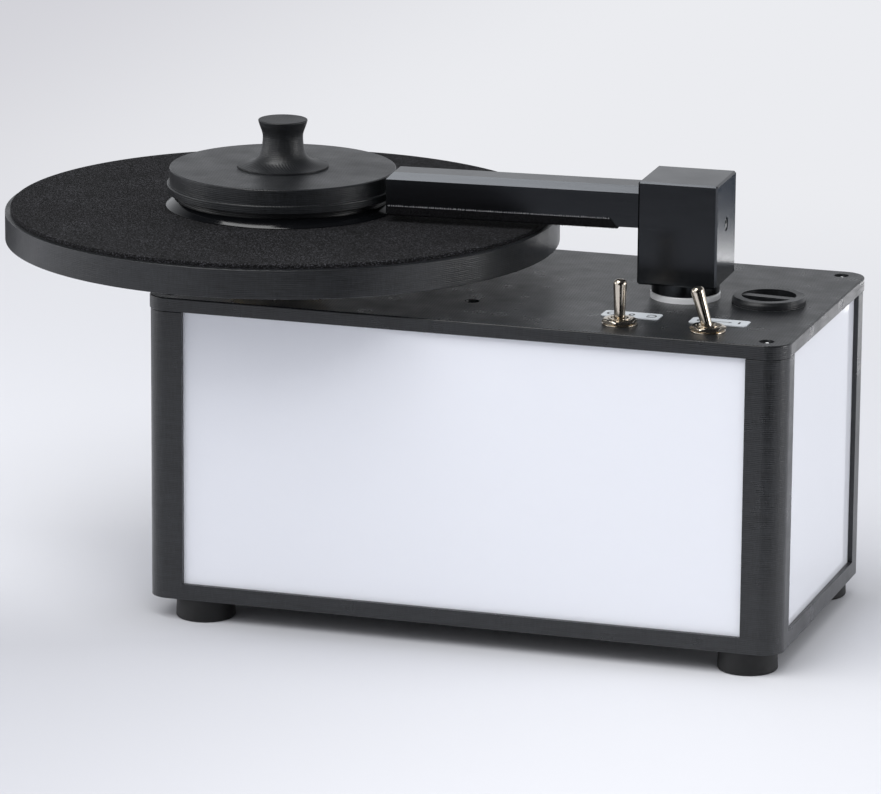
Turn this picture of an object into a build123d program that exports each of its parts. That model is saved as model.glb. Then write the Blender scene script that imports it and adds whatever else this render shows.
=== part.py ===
from build123d import *

import os
from math import cos, radians, sin

# Vacuum record cleaning machine: a printed case with opal panels, an overhanging platter with
# its label clamp, and a suction arm that swings over the record. Millimetres, +Z up. The origin
# is on the table, under the middle of the whole machine. The spindle, the arm's pivot and the
# tank cap stand in one line along X, at Y = 0.

os.makedirs("parts", exist_ok=True)

# ---------------------------------------------------------------- driving dimensions
# case
case_width = 350.0
case_depth = 180.0
case_height = 158.0          # underside of the base tray to the underside of the lid
corner_radius = 12.0
rail_height = 8.5            # what shows of the base tray under the panels
rail_thickness = 9.0
floor_thickness = 4.0
post_front = 21.0            # width of a corner post seen from the front
post_side = 20.5             # and from the side
panel_thickness = 3.0
panel_recess = 2.5           # the panels stand this far behind the posts
groove_depth = 3.0           # how far a panel reaches into tray and posts
groove_slack = 0.15
lid_thickness = 7.5
lid_overhang = 0.5
lid_edge_round = 0.8

# feet
foot_height = 12.0
foot_top_diameter = 31.0
foot_diameter = 32.0
foot_edge_round = 1.2
foot_inset_left = 28.5       # in from the left end of the case
foot_inset_right = 20.5
foot_inset_y = 16.0
foot_boss_diameter = 13.0
foot_boss_height = 4.3       # above the floor of the tray

# the line of axes
axis_setback = 4.0           # behind the middle of the case
platter_inset = 45.0         # spindle, in from the left end of the case
cap_inset = 33.1             # tank cap, in from the right end
pivot_spacing = 4.4          # between the pivot's nut and the neck of the tank

# platter
platter_diameter = 300.0
platter_thickness = 15.5
platter_gap = 15.8           # lid to the underside of the platter
platter_edge_round = 0.4
mat_diameter = 294.0
mat_thickness = 2.4
mat_edge_round = 0.6
hub_flange_diameter = 64.0
hub_flange_thickness = 5.0
hub_boss_diameter = 26.0
hub_screw_circle = 46.0
hub_screw_count = 3
hub_lift = 1.0               # clearance between the hub and the screw heads below it
shaft_diameter = 10.0
spindle_diameter = 7.1       # a record's hole is 7.24 mm
spindle_height = 20.0        # above the mat
running_clearance = 0.05     # radial, for shafts in their bearings

# label clamp
clamp_diameter = 125.4
clamp_lift = 0.3             # between the clamp and the mat
clamp_foot_step = 18.7       # each step is how far in from the edge of the clamp
seal_lip_flare = 0.7         # past the edge of the clamp
seal_root_step = 3.8
seal_height = 4.4
seal_thickness = 1.5
seal_hollow = 0.4            # how far the flaring lip is dished
clamp_neck_step = 5.7
clamp_base_bottom = 7.8      # above the mat
clamp_base_thickness = 4.4
clamp_disc_step = 1.5
clamp_disc_thickness = 8.6
clamp_disc_round = 0.6
clamp_screw_step = 33.0
clamp_screw_count = 3
knob_height = 26.0
knob_foot = (24.7, 1.0)      # (radius, height) where the foot of the knob begins to rise
knob_waist = ((19.5, 1.9), (14.4, 4.6), (11.6, 10.0), (10.95, 14.5), (11.0, 18.0))
knob_brow = ((12.0, 21.3), (13.3, 25.2))
knob_foot_slope = (-1.0, 0.12)
knob_top_slope = (0.3, 1.0)
knob_top_round = 0.5
bushing_diameter = 13.0

# suction arm
arm_angle = 4.2              # from the line of axes, tip towards the front
arm_tip_clearance = 1.4      # tip to the lip of the clamp's seal
arm_width = 22.0
arm_height = 22.0
arm_bottom = 38.2            # above the lid
arm_chamfer = 3.5            # along the top edges and across the tip
arm_tenon = 6.0              # how far the bar reaches into the tower
duct_diameter = 10.0
slot_width = 2.5
velvet_thickness = 1.0
velvet_skirt = 5.2           # height of the strip on the side of the bar
velvet_start = 35.0          # from the pivot
velvet_end_inset = 0.9
tower_side = 43.0
tower_height = 55.6
tower_turn = 1.7             # from the line of axes; the bar is let in a little askew
tower_bottom = 9.8           # above the lid
tower_bevel = 1.0
tube_diameter = 22.0
tube_wall = 2.0
tube_top = 34.0              # above the underside of the tower
collar_diameter = 36.3
ring_diameter = 37.3
ring_height = 3.2
ring_barrel_diameter = 30.0
ring_barrel_length = 16.0    # below the lid
ring_nut_diameter = 44.0
ring_nut_height = 6.0
ring_nut_slot_count = 4
retainer_diameter = 34.0
retainer_height = 7.0
tube_dip = 12.0              # how far the tube reaches into the tank
grub_diameter = 7.4
grub_length = 8.0
grub_height = 31.0           # above the underside of the tower
fit_gap = 0.3                # between pieces that move past each other

# tank and its cap
cap_diameter = 39.3
cap_height = 4.0
cap_bevel = 1.8
cap_well_diameter = 29.0
cap_well_depth = 7.0
cap_bar_width = 5.5
cap_bar_drop = 0.6           # the finger bar stays this far under the rim
cap_bar_angle = 5.0
cap_plug_diameter = 33.0
cap_plug_depth = 12.0
cap_seal_diameter = 2.4
tank_width = 98.0
tank_depth = 92.0
tank_height = 118.0
tank_wall = 2.5
tank_corner = 10.0
tank_neck_wall = 2.5
inlet_seal_diameter = 36.0
inlet_seal_waist = 29.0
inlet_seal_lip = 2.0

# switches
switch_inset = 47.0          # second switch, in from the right end of the case
switch_spacing = 47.5
switch_from_front = 22.0
switch_lean = 16.5           # degrees each side of upright
switch_bushing = 11.8
switch_bushing_rise = 3.6    # above the lid
switch_bushing_bore = 9.6
switch_body_width = 19.0
switch_body_length = 28.0
switch_body_height = 24.0
switch_tag_width = 5.0
switch_tag_thickness = 0.8
switch_tag_length = 8.0
switch_tag_pitch_x = 9.4
switch_tag_pitch_y = 9.5
nut_across_flats = 16.8
nut_thickness = 2.4
nut_turns = {"1": 0.0, "2": 13.0}
washer_diameter = 18.6
washer_thickness = 0.8
lever_rise = 24.0            # tip above the lid, upright
lever_pivot = 1.0            # above the lid
lever_ball = 6.0
lever_pin = 1.8              # the cross pin the lever tilts about
lever_pin_length = 6.4
lever_root = 5.5
lever_tip = 7.3
label_length = 31.0
label_width = 12.4
label_thickness = 0.5
label_corner = 1.4
label_offset_x = 0.9         # middle of the label, right of its switch
label_offset_y = 20.3        # and behind it

# fasteners
hexagon_side_count = 6
lid_screw_inset_x = 12.4
lid_screw_inset_y = 10.0
screw_head_diameter = 7.0
screw_head_height = 2.6
screw_head_clearance = 0.5
screw_seat_depth = 3.4
screw_diameter = 3.9
screw_hole_diameter = 4.0
screw_length = 24.0
foot_screw_length = 16.0

# drive, pump and electrics
bearing_flange = 60.0
bearing_flange_height = 3.0
bearing_barrel = 30.0
bearing_depth = 18.0         # below the lid's underside
motor_diameter = 60.0
motor_length = 68.0
motor_screw_circle = 46.0
motor_screw_count = 4
motor_screw_start = 45.0      # degrees from +X
gearbox_bore_depth = 14.0
bracket_thickness = 3.0
bracket_bolt_x = 65.0        # bolt pattern of the pump bracket
bracket_bolt_y = 95.4
bracket_margin = 9.0
pump_clearance = 4.0         # between the fan housing and the platter's motor
pump_fan_diameter = 112.0
pump_fan_height = 42.0
pump_fan_round = 6.0
pump_motor_diameter = 84.0
pump_motor_height = 54.0
pump_cap_diameter = 40.0
pump_cap_height = 9.0
pump_spigot_length = 14.0
hose_diameter = 30.0
hose_wall = 3.0
hose_overlap = 10.0          # on each spigot
supply_width = 92.0
supply_depth = 46.0
supply_height = 32.0
supply_inset = 61.0          # in from the left end of the case
supply_round = 3.0
supply_slot_length = 20.0
supply_slot_width = 2.5
supply_slot_depth = 1.2
supply_slot_pitch = 6.0
supply_slot_count = 10
inlet_width = 27.0
inlet_height = 20.0
inlet_rim = 2.5
inlet_flange = 2.0
inlet_cavity_depth = 16.0
inlet_shell = 22.0
inlet_pin_width = 4.0
inlet_pin_thickness = 2.0
inlet_pin_length = 13.0
inlet_pin_pitch = 7.0
inlet_inset = 47.0           # in from the left end of the case
inlet_level = 42.0           # above the underside of the base
vent_width = 76.0
vent_height = 46.0
vent_flange = 2.0
vent_border = 6.0
vent_slot = 2.8
vent_rib = 2.4
vent_level = 84.0

# ---------------------------------------------------------------- places worked out from them
lid_width = case_width + 2 * lid_overhang
lid_depth = case_depth + 2 * lid_overhang
platter_overhang = platter_diameter / 2 - platter_inset - lid_overhang
case_x = platter_overhang / 2
case_y = -axis_setback
left_x = case_x - case_width / 2
right_x = case_x + case_width / 2
front_y = case_y - case_depth / 2
rear_y = case_y + case_depth / 2

neck_diameter = cap_plug_diameter + 2 * fit_gap
neck_outer = neck_diameter + 2 * tank_neck_wall
platter_x = left_x + platter_inset
cap_x = right_x - cap_inset
pivot_x = cap_x - neck_outer / 2 - pivot_spacing - ring_nut_diameter / 2
pump_x = platter_x + motor_diameter / 2 + pump_clearance + pump_fan_diameter / 2

clamp_foot_radius = clamp_diameter / 2 - clamp_foot_step
clamp_neck_radius = clamp_diameter / 2 - clamp_neck_step
clamp_disc_radius = clamp_diameter / 2 - clamp_disc_step
clamp_screw_radius = clamp_diameter / 2 - clamp_screw_step
seal_root_radius = clamp_diameter / 2 - seal_root_step
seal_lip_radius = clamp_diameter / 2 + seal_lip_flare
arm_reach = pivot_x - platter_x - seal_lip_radius - arm_tip_clearance

base_z = foot_height
rail_z = base_z + rail_height
floor_z = base_z + floor_thickness
seam_z = base_z + case_height
lid_z = seam_z + lid_thickness
platter_z = lid_z + platter_gap
rim_z = platter_z + platter_thickness
mat_z = rim_z + mat_thickness
clamp_z = mat_z + clamp_base_bottom
disc_z = clamp_z + clamp_base_thickness
knob_z = disc_z + clamp_disc_thickness
tower_z = lid_z + tower_bottom
arm_z = lid_z + arm_bottom
duct_z = arm_z + arm_height / 2
tank_z = floor_z + fit_gap
tank_top = tank_z + tank_height

panel_slot = panel_thickness + 2 * groove_slack
panel_middle = panel_recess + panel_slot / 2
panel_bottom = rail_z - groove_depth + groove_slack
panel_top = seam_z

corner_screws = [
    (case_x + sx * (case_width / 2 - lid_screw_inset_x), case_y + sy * (case_depth / 2 - lid_screw_inset_y))
    for sx in (-1, 1)
    for sy in (-1, 1)
]
foot_places = {
    "foot_front_left": (left_x + foot_inset_left, front_y + foot_inset_y),
    "foot_front_right": (right_x - foot_inset_right, front_y + foot_inset_y),
    "foot_rear_left": (left_x + foot_inset_left, rear_y - foot_inset_y),
    "foot_rear_right": (right_x - foot_inset_right, rear_y - foot_inset_y),
}
switch_y = front_y + switch_from_front
switch_places = {
    "1": (right_x - switch_inset - switch_spacing, switch_y),
    "2": (right_x - switch_inset, switch_y),
}
bracket_bolts = [
    (pump_x + sx * bracket_bolt_x / 2, sy * bracket_bolt_y / 2) for sx in (-1, 1) for sy in (-1, 1)
]


# upright frames at the axes, and the frame of the lid's middle
case_frame = Plane(origin=(case_x, case_y, 0))
platter_frame = Plane(origin=(platter_x, 0, 0))
pivot_frame = Plane(origin=(pivot_x, 0, 0))
cap_frame = Plane(origin=(cap_x, 0, 0))
pump_frame = Plane(origin=(pump_x, 0, 0))

# sections through the axes of the turned pieces: X is the radius, Y the height
platter_section = Plane(origin=(platter_x, 0, 0), x_dir=(1, 0, 0), z_dir=(0, -1, 0))
platter_axis = Axis((platter_x, 0, 0), (0, 0, 1))
cap_section = Plane(origin=(cap_x, 0, 0), x_dir=(1, 0, 0), z_dir=(0, -1, 0))
cap_axis = Axis((cap_x, 0, 0), (0, 0, 1))

# the outside of the rear panel, seen from behind: X runs towards the platter, Y up
rear_face = Plane(
    origin=(0, rear_y - panel_recess - groove_slack, 0),
    x_dir=(-1, 0, 0),
    z_dir=(0, 1, 0),
)
inlet_place = (-left_x - inlet_inset, base_z + inlet_level)
vent_place = (-pump_x, base_z + vent_level)


def round_platter(diameter, count, start=0):
    """Places (x, y) spaced evenly on a circle about the platter's axis."""
    angles = [radians(start + 360 * step / count) for step in range(count)]
    return [(platter_x + diameter / 2 * cos(a), diameter / 2 * sin(a)) for a in angles]


def keep(part, label):
    """Names a finished piece and writes its STEP file."""
    part.label = label
    export_step(part, f"parts/{label}.step")


# ---------------------------------------------------------------- case: tray, posts, panels
with BuildPart() as base_tray:
    with BuildSketch(case_frame.offset(base_z)):
        RectangleRounded(case_width, case_depth, corner_radius)
    extrude(amount=rail_height)
    with BuildSketch(case_frame.offset(floor_z)):
        Rectangle(case_width - 2 * post_front, case_depth - 2 * rail_thickness)
        Rectangle(case_width - 2 * rail_thickness, case_depth - 2 * post_side)
    extrude(amount=rail_height, mode=Mode.SUBTRACT)
    with BuildSketch(Plane.XY.offset(rail_z - groove_depth)):
        slot_span_x = case_width - 2 * (post_front - groove_depth)
        slot_span_y = case_depth - 2 * (post_side - groove_depth)
        with Locations((case_x, front_y + panel_middle), (case_x, rear_y - panel_middle)):
            Rectangle(slot_span_x, panel_slot)
        with Locations((left_x + panel_middle, case_y), (right_x - panel_middle, case_y)):
            Rectangle(panel_slot, slot_span_y)
    extrude(amount=groove_depth, mode=Mode.SUBTRACT)
    with BuildSketch(Plane.XY.offset(base_z)):
        with Locations(*foot_places.values()):
            Circle(foot_boss_diameter / 2)
    extrude(amount=floor_thickness + foot_boss_height)
    with Locations(*[(x, y, base_z) for x, y in foot_places.values()]):
        Hole(screw_diameter / 2, depth=screw_seat_depth + foot_screw_length - foot_height)
    with Locations(*[Location((x, y, base_z), (180, 0, 0)) for x, y in corner_screws]):
        CounterBoreHole(
            screw_hole_diameter / 2, screw_head_diameter / 2 + screw_head_clearance, screw_seat_depth
        )
keep(base_tray.part, "base_tray")

for name, sx, sy in (
    ("post_front_left", -1, -1),
    ("post_front_right", 1, -1),
    ("post_rear_left", -1, 1),
    ("post_rear_right", 1, 1),
):
    corner = Plane(
        origin=(case_x + sx * case_width / 2, case_y + sy * case_depth / 2, rail_z),
        x_dir=(1, 0, 0),
        z_dir=(0, 0, 1),
    )
    post_height = seam_z - rail_z
    with BuildPart() as post:
        with BuildSketch(corner):
            with Locations((-sx * post_front / 2, -sy * post_side / 2)):
                Rectangle(post_front, post_side)
        extrude(amount=post_height)
        outer_edge = post.edges().filter_by(Axis.Z).sort_by_distance(corner.origin)[0]
        fillet(outer_edge, corner_radius)
        with BuildSketch(corner):
            with Locations((-sx * (post_front - groove_depth / 2), -sy * panel_middle)):
                Rectangle(groove_depth, panel_slot)
            with Locations((-sx * panel_middle, -sy * (post_side - groove_depth / 2))):
                Rectangle(panel_slot, groove_depth)
        extrude(amount=post_height, mode=Mode.SUBTRACT)
        screw_x = corner.origin.X - sx * lid_screw_inset_x
        screw_y = corner.origin.Y - sy * lid_screw_inset_y
        pilot_depth = screw_length
        with Locations((screw_x, screw_y, seam_z)):
            Hole(screw_diameter / 2, depth=pilot_depth)
        with Locations(Location((screw_x, screw_y, rail_z), (180, 0, 0))):
            Hole(screw_diameter / 2, depth=pilot_depth)
    keep(post.part, name)

long_panel = case_width - 2 * (post_front - groove_depth) - 2 * groove_slack
short_panel = case_depth - 2 * (post_side - groove_depth) - 2 * groove_slack
panel_height = panel_top - panel_bottom

with BuildPart() as front_panel:
    with BuildSketch(Plane.XY.offset(panel_bottom)):
        with Locations((case_x, front_y + panel_middle)):
            Rectangle(long_panel, panel_thickness)
    extrude(amount=panel_height)
keep(front_panel.part, "front_panel")

with BuildPart() as rear_panel:
    with BuildSketch(Plane.XY.offset(panel_bottom)):
        with Locations((case_x, rear_y - panel_middle)):
            Rectangle(long_panel, panel_thickness)
    extrude(amount=panel_height)
    with BuildSketch(rear_face):
        with Locations(inlet_place):
            Rectangle(inlet_width, inlet_height)
        with Locations(vent_place):
            Rectangle(vent_width - 2 * vent_border, vent_height - 2 * vent_border)
    extrude(amount=-panel_thickness, mode=Mode.SUBTRACT)
keep(rear_panel.part, "rear_panel")

for name, panel_x in (("left_panel", left_x + panel_middle), ("right_panel", right_x - panel_middle)):
    with BuildPart() as side_panel:
        with BuildSketch(Plane.XY.offset(panel_bottom)):
            with Locations((panel_x, case_y)):
                Rectangle(panel_thickness, short_panel)
        extrude(amount=panel_height)
    keep(side_panel.part, name)

# ---------------------------------------------------------------- lid
ring_hole = ring_barrel_diameter + 2 * groove_slack

with BuildPart() as top_plate:
    with BuildSketch(case_frame.offset(seam_z)):
        RectangleRounded(lid_width, lid_depth, corner_radius + lid_overhang)
    extrude(amount=lid_thickness)
    fillet(top_plate.faces().sort_by(Axis.Z)[-1].edges(), lid_edge_round)
    with Locations(*[(x, y, lid_z) for x, y in corner_screws]):
        CounterBoreHole(
            screw_hole_diameter / 2, screw_head_diameter / 2 + screw_head_clearance, screw_seat_depth
        )
    with Locations(*[(x, y, lid_z) for x, y in bracket_bolts]):
        CounterBoreHole(
            screw_hole_diameter / 2, screw_head_diameter / 2 + screw_head_clearance, screw_seat_depth
        )
    with BuildSketch(Plane.XY.offset(seam_z)):
        with Locations((platter_x, 0)):
            Circle(bearing_barrel / 2 + groove_slack)
        with Locations((platter_x, 0)):
            with PolarLocations(motor_screw_circle / 2, motor_screw_count, start_angle=motor_screw_start):
                Circle(screw_hole_diameter / 2)
        with Locations((pivot_x, 0)):
            Circle(ring_hole / 2)
        with Locations((cap_x, 0)):
            Circle(neck_outer / 2 + groove_slack)
        with Locations(*switch_places.values()):
            Circle(switch_bushing / 2 + groove_slack)
    extrude(amount=lid_thickness, mode=Mode.SUBTRACT)
keep(top_plate.part, "top_plate")

# ---------------------------------------------------------------- feet and screws
for name, (foot_x, foot_y) in foot_places.items():
    with BuildPart() as foot:
        with BuildSketch(Plane.XY.offset(base_z)):
            with Locations((foot_x, foot_y)):
                Circle(foot_top_diameter / 2)
        with BuildSketch(Plane.XY):
            with Locations((foot_x, foot_y)):
                Circle(foot_diameter / 2)
        loft()
        fillet(foot.edges().group_by(Axis.Z)[0], foot_edge_round)
        with Locations(Location((foot_x, foot_y, 0), (180, 0, 0))):
            CounterBoreHole(
                screw_hole_diameter / 2, screw_head_diameter / 2 + screw_head_clearance, screw_seat_depth
            )
    keep(foot.part, name)


def keep_screws(label, places, length):
    """Pan-head screws: each place is the plane of a head's seat, with its Z out of the head."""
    with BuildPart() as screw:
        with BuildSketch():
            Circle(screw_head_diameter / 2)
        extrude(amount=screw_head_height)
        fillet(screw.faces().sort_by(Axis.Z)[-1].edges(), screw_head_height / 3)
        with BuildSketch():
            Circle(screw_diameter / 2)
        extrude(amount=-length)
    with BuildPart() as screws:
        with Locations(*[seat.location for seat in places]):
            add(screw.part)
    keep(screws.part, label)


def seats(places, height, z_dir=(0, 0, 1)):
    """Planes for screw heads at (x, y) places and one height, facing along z_dir."""
    return [Plane(origin=(x, y, height), x_dir=(1, 0, 0), z_dir=z_dir) for x, y in places]


downward = (0, 0, -1)
lid_seats = seats(corner_screws, lid_z - screw_seat_depth)
tray_seats = seats(corner_screws, base_z + screw_seat_depth, downward)
keep_screws("case_screws", lid_seats + tray_seats, screw_length)
keep_screws("foot_screws", seats(foot_places.values(), screw_seat_depth, downward), foot_screw_length)
keep_screws(
    "bracket_screws",
    seats(bracket_bolts, lid_z - screw_seat_depth),
    lid_thickness - screw_seat_depth + bracket_thickness,
)

# ---------------------------------------------------------------- platter drive, under the lid
with BuildPart() as spindle_bearing:
    with BuildSketch(platter_frame.offset(lid_z)):
        Circle(bearing_flange / 2)
    extrude(amount=bearing_flange_height)
    fillet(spindle_bearing.faces().sort_by(Axis.Z)[-1].edges(), platter_edge_round)
    with BuildSketch(platter_frame.offset(lid_z)):
        Circle(bearing_barrel / 2)
    extrude(amount=-(lid_thickness + bearing_depth))
    with BuildSketch(platter_frame.offset(lid_z + bearing_flange_height)):
        Circle(shaft_diameter / 2 + running_clearance)
        with PolarLocations(motor_screw_circle / 2, motor_screw_count, start_angle=motor_screw_start):
            Circle(screw_hole_diameter / 2)
    extrude(amount=-(bearing_flange_height + lid_thickness + bearing_depth), mode=Mode.SUBTRACT)
keep(spindle_bearing.part, "spindle_bearing")

gearbox_z = seam_z - bearing_depth
with BuildPart() as platter_motor:
    with BuildSketch(platter_frame.offset(seam_z)):
        Circle(motor_diameter / 2)
        Circle(bearing_barrel / 2 + groove_slack, mode=Mode.SUBTRACT)
    extrude(amount=-bearing_depth)
    with BuildSketch(platter_frame.offset(gearbox_z)):
        Circle(motor_diameter / 2)
    extrude(amount=-motor_length)
    fillet(platter_motor.faces().sort_by(Axis.Z)[0].edges(), platter_edge_round)
    with Locations((platter_x, 0, gearbox_z)):
        Hole(shaft_diameter / 2 + running_clearance, depth=gearbox_bore_depth)
    with BuildSketch(platter_frame.offset(seam_z)):
        with PolarLocations(motor_screw_circle / 2, motor_screw_count, start_angle=motor_screw_start):
            Circle(screw_diameter / 2)
    extrude(amount=-bearing_depth, mode=Mode.SUBTRACT)
keep(platter_motor.part, "platter_motor")

motor_bolts = round_platter(motor_screw_circle, motor_screw_count, motor_screw_start)
keep_screws(
    "motor_screws",
    seats(motor_bolts, lid_z + bearing_flange_height),
    bearing_flange_height + lid_thickness + bearing_depth,
)

# ---------------------------------------------------------------- platter
hub_top = platter_z + hub_flange_thickness
hub_bottom = lid_z + bearing_flange_height + screw_head_height + hub_lift

with BuildPart() as platter:
    with BuildSketch(platter_frame.offset(platter_z)):
        Circle(platter_diameter / 2)
        Circle(shaft_diameter / 2, mode=Mode.SUBTRACT)
    extrude(amount=platter_thickness)
    rim_edges = platter.edges().filter_by(GeomType.CIRCLE).sort_by(SortBy.RADIUS)[-2:]
    fillet(rim_edges, platter_edge_round)
    with BuildSketch(platter_frame.offset(platter_z)):
        Circle(hub_flange_diameter / 2)
    extrude(amount=hub_flange_thickness, mode=Mode.SUBTRACT)
    with BuildSketch(platter_frame.offset(hub_top)):
        with PolarLocations(hub_screw_circle / 2, hub_screw_count):
            Circle(screw_diameter / 2)
    extrude(amount=platter_thickness / 2, mode=Mode.SUBTRACT)
keep(platter.part, "platter")

with BuildPart() as platter_mat:
    with BuildSketch(platter_frame.offset(rim_z)):
        Circle(mat_diameter / 2)
        Circle(spindle_diameter / 2, mode=Mode.SUBTRACT)
    extrude(amount=mat_thickness)
    mat_edge = platter_mat.faces().sort_by(Axis.Z)[-1].edges().sort_by(SortBy.RADIUS)[-1]
    fillet(mat_edge, mat_edge_round)
keep(platter_mat.part, "platter_mat")

with BuildPart() as platter_hub:
    with BuildSketch(platter_frame.offset(platter_z)):
        Circle(hub_flange_diameter / 2)
    extrude(amount=hub_flange_thickness)
    with BuildSketch(platter_frame.offset(platter_z)):
        Circle(hub_boss_diameter / 2)
    extrude(amount=-(platter_z - hub_bottom))
    fillet(platter_hub.faces().sort_by(Axis.Z)[0].edges(), platter_edge_round)
    with BuildSketch(platter_frame.offset(hub_bottom)):
        Circle(shaft_diameter / 2)
        with PolarLocations(hub_screw_circle / 2, hub_screw_count):
            Circle(screw_hole_diameter / 2)
    extrude(amount=hub_top - hub_bottom, mode=Mode.SUBTRACT)
keep(platter_hub.part, "platter_hub")

keep_screws(
    "hub_screws",
    seats(round_platter(hub_screw_circle, hub_screw_count), platter_z, downward),
    hub_flange_thickness + platter_thickness / 2,
)

spindle_tip = mat_z + spindle_height
spindle_shoulder = spindle_tip - spindle_diameter / 2
shaft_bottom = gearbox_z - gearbox_bore_depth + fit_gap
with BuildPart() as platter_shaft:
    with BuildSketch(platter_section):
        with BuildLine():
            Polyline(
                (0, shaft_bottom),
                (shaft_diameter / 2, shaft_bottom),
                (shaft_diameter / 2, rim_z),
                (spindle_diameter / 2, rim_z),
                (spindle_diameter / 2, spindle_shoulder),
            )
            RadiusArc((spindle_diameter / 2, spindle_shoulder), (0, spindle_tip), -spindle_diameter / 2)
            Line((0, spindle_tip), (0, shaft_bottom))
        make_face()
    revolve(axis=platter_axis)
keep(platter_shaft.part, "platter_shaft")

# ---------------------------------------------------------------- label clamp
clamp_bottom = mat_z + clamp_lift
seal_top = mat_z + seal_height
bushing_bore = spindle_diameter / 2 + running_clearance
lip_middle = ((seal_lip_radius + seal_root_radius) / 2, (clamp_bottom + seal_top) / 2)
lip_hollow = (lip_middle[0] - seal_hollow, lip_middle[1] - seal_hollow)

with BuildPart() as clamp_seal:
    with BuildSketch(platter_section):
        with BuildLine():
            lip = ThreePointArc((seal_lip_radius, clamp_bottom), lip_hollow, (seal_root_radius, seal_top))
            Polyline(
                lip @ 1,
                (clamp_foot_radius, seal_top),
                (clamp_foot_radius, seal_top - seal_thickness),
                (seal_root_radius - seal_thickness, seal_top - seal_thickness),
                (seal_lip_radius - seal_thickness, clamp_bottom),
                lip @ 0,
            )
        make_face()
    revolve(axis=platter_axis)
keep(clamp_seal.part, "clamp_seal")

with BuildPart() as clamp_base:
    with BuildSketch(platter_section):
        with BuildLine():
            Polyline(
                (bushing_diameter / 2, clamp_bottom),
                (clamp_foot_radius, clamp_bottom),
                (clamp_foot_radius, seal_top),
                (clamp_neck_radius, seal_top),
                (clamp_neck_radius, clamp_z),
                (clamp_diameter / 2, clamp_z),
                (clamp_diameter / 2, disc_z),
                (bushing_diameter / 2, disc_z),
                close=True,
            )
        make_face()
    revolve(axis=platter_axis)
    base_rim = clamp_base.edges().filter_by(GeomType.CIRCLE).sort_by(SortBy.RADIUS)[-2:]
    fillet(base_rim, mat_edge_round)
    with BuildSketch(platter_frame.offset(clamp_bottom)):
        with PolarLocations(clamp_screw_radius, clamp_screw_count):
            Circle(screw_head_diameter / 2 + screw_head_clearance)
    extrude(amount=screw_head_height, mode=Mode.SUBTRACT)
    with BuildSketch(platter_frame.offset(clamp_bottom)):
        with PolarLocations(clamp_screw_radius, clamp_screw_count):
            Circle(screw_diameter / 2)
    extrude(amount=disc_z - clamp_bottom, mode=Mode.SUBTRACT)
keep(clamp_base.part, "clamp_base")

with BuildPart() as clamp_disc:
    with BuildSketch(platter_frame.offset(disc_z)):
        Circle(clamp_disc_radius)
        Circle(bushing_diameter / 2, mode=Mode.SUBTRACT)
    extrude(amount=clamp_disc_thickness)
    disc_edge = clamp_disc.faces().sort_by(Axis.Z)[-1].edges().sort_by(SortBy.RADIUS)[-1]
    fillet(disc_edge, clamp_disc_round)
    with BuildSketch(platter_frame.offset(disc_z)):
        with PolarLocations(clamp_screw_radius, clamp_screw_count):
            Circle(screw_diameter / 2)
    extrude(amount=clamp_disc_thickness / 2, mode=Mode.SUBTRACT)
keep(clamp_disc.part, "clamp_disc")

clamp_screw_seat = clamp_bottom + screw_head_height
keep_screws(
    "clamp_screws",
    seats(round_platter(2 * clamp_screw_radius, clamp_screw_count), clamp_screw_seat, downward),
    disc_z + clamp_disc_thickness / 2 - clamp_screw_seat,
)

with BuildPart() as clamp_bushing:
    with BuildSketch(platter_frame.offset(clamp_bottom)):
        Circle(bushing_diameter / 2)
        Circle(bushing_bore, mode=Mode.SUBTRACT)
    extrude(amount=knob_z - clamp_bottom)
keep(clamp_bushing.part, "clamp_bushing")

knob_top = knob_z + knob_height
knob_points = [(radius, knob_z + height) for radius, height in (knob_foot, *knob_waist, *knob_brow)]
foot_radius = knob_points[0][0]
brow_radius = knob_points[-1][0]
with BuildPart() as clamp_knob:
    with BuildSketch(platter_section):
        with BuildLine():
            Polyline((0, knob_top), (0, knob_z), (foot_radius, knob_z), knob_points[0])
            Spline(*knob_points, tangents=(knob_foot_slope, knob_top_slope))
            Polyline(knob_points[-1], (brow_radius, knob_top), (0, knob_top))
        make_face()
    revolve(axis=platter_axis)
    knob_rim = clamp_knob.faces().sort_by(Axis.Z)[-1].edges()
    fillet(knob_rim, knob_top_round)
keep(clamp_knob.part, "clamp_knob")

# ---------------------------------------------------------------- suction arm
def swung(angle):
    """A frame on the lid's pivot, swung to the front: X towards the tip of the arm, Z up."""
    towards = (-cos(radians(angle)), -sin(radians(angle)), 0)
    return Plane(origin=(pivot_x, 0, 0), x_dir=towards, z_dir=(0, 0, 1))


def across(frame, distance):
    """The plane square to a frame's X at a distance along it, X to the front, Y up."""
    origin = frame.from_local_coords((distance, 0, 0))
    return Plane(origin=origin, x_dir=frame.y_dir, z_dir=frame.x_dir)


arm_frame = swung(arm_angle)
tower_frame = swung(tower_turn)
tower_face = tower_side / 2
bar_start = tower_face - arm_tenon
arm_top = arm_z + arm_height
arm_section = (
    (-arm_width / 2, arm_z),
    (arm_width / 2, arm_z),
    (arm_width / 2, arm_top - arm_chamfer),
    (arm_width / 2 - arm_chamfer, arm_top),
    (arm_chamfer - arm_width / 2, arm_top),
    (-arm_width / 2, arm_top - arm_chamfer),
)

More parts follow.
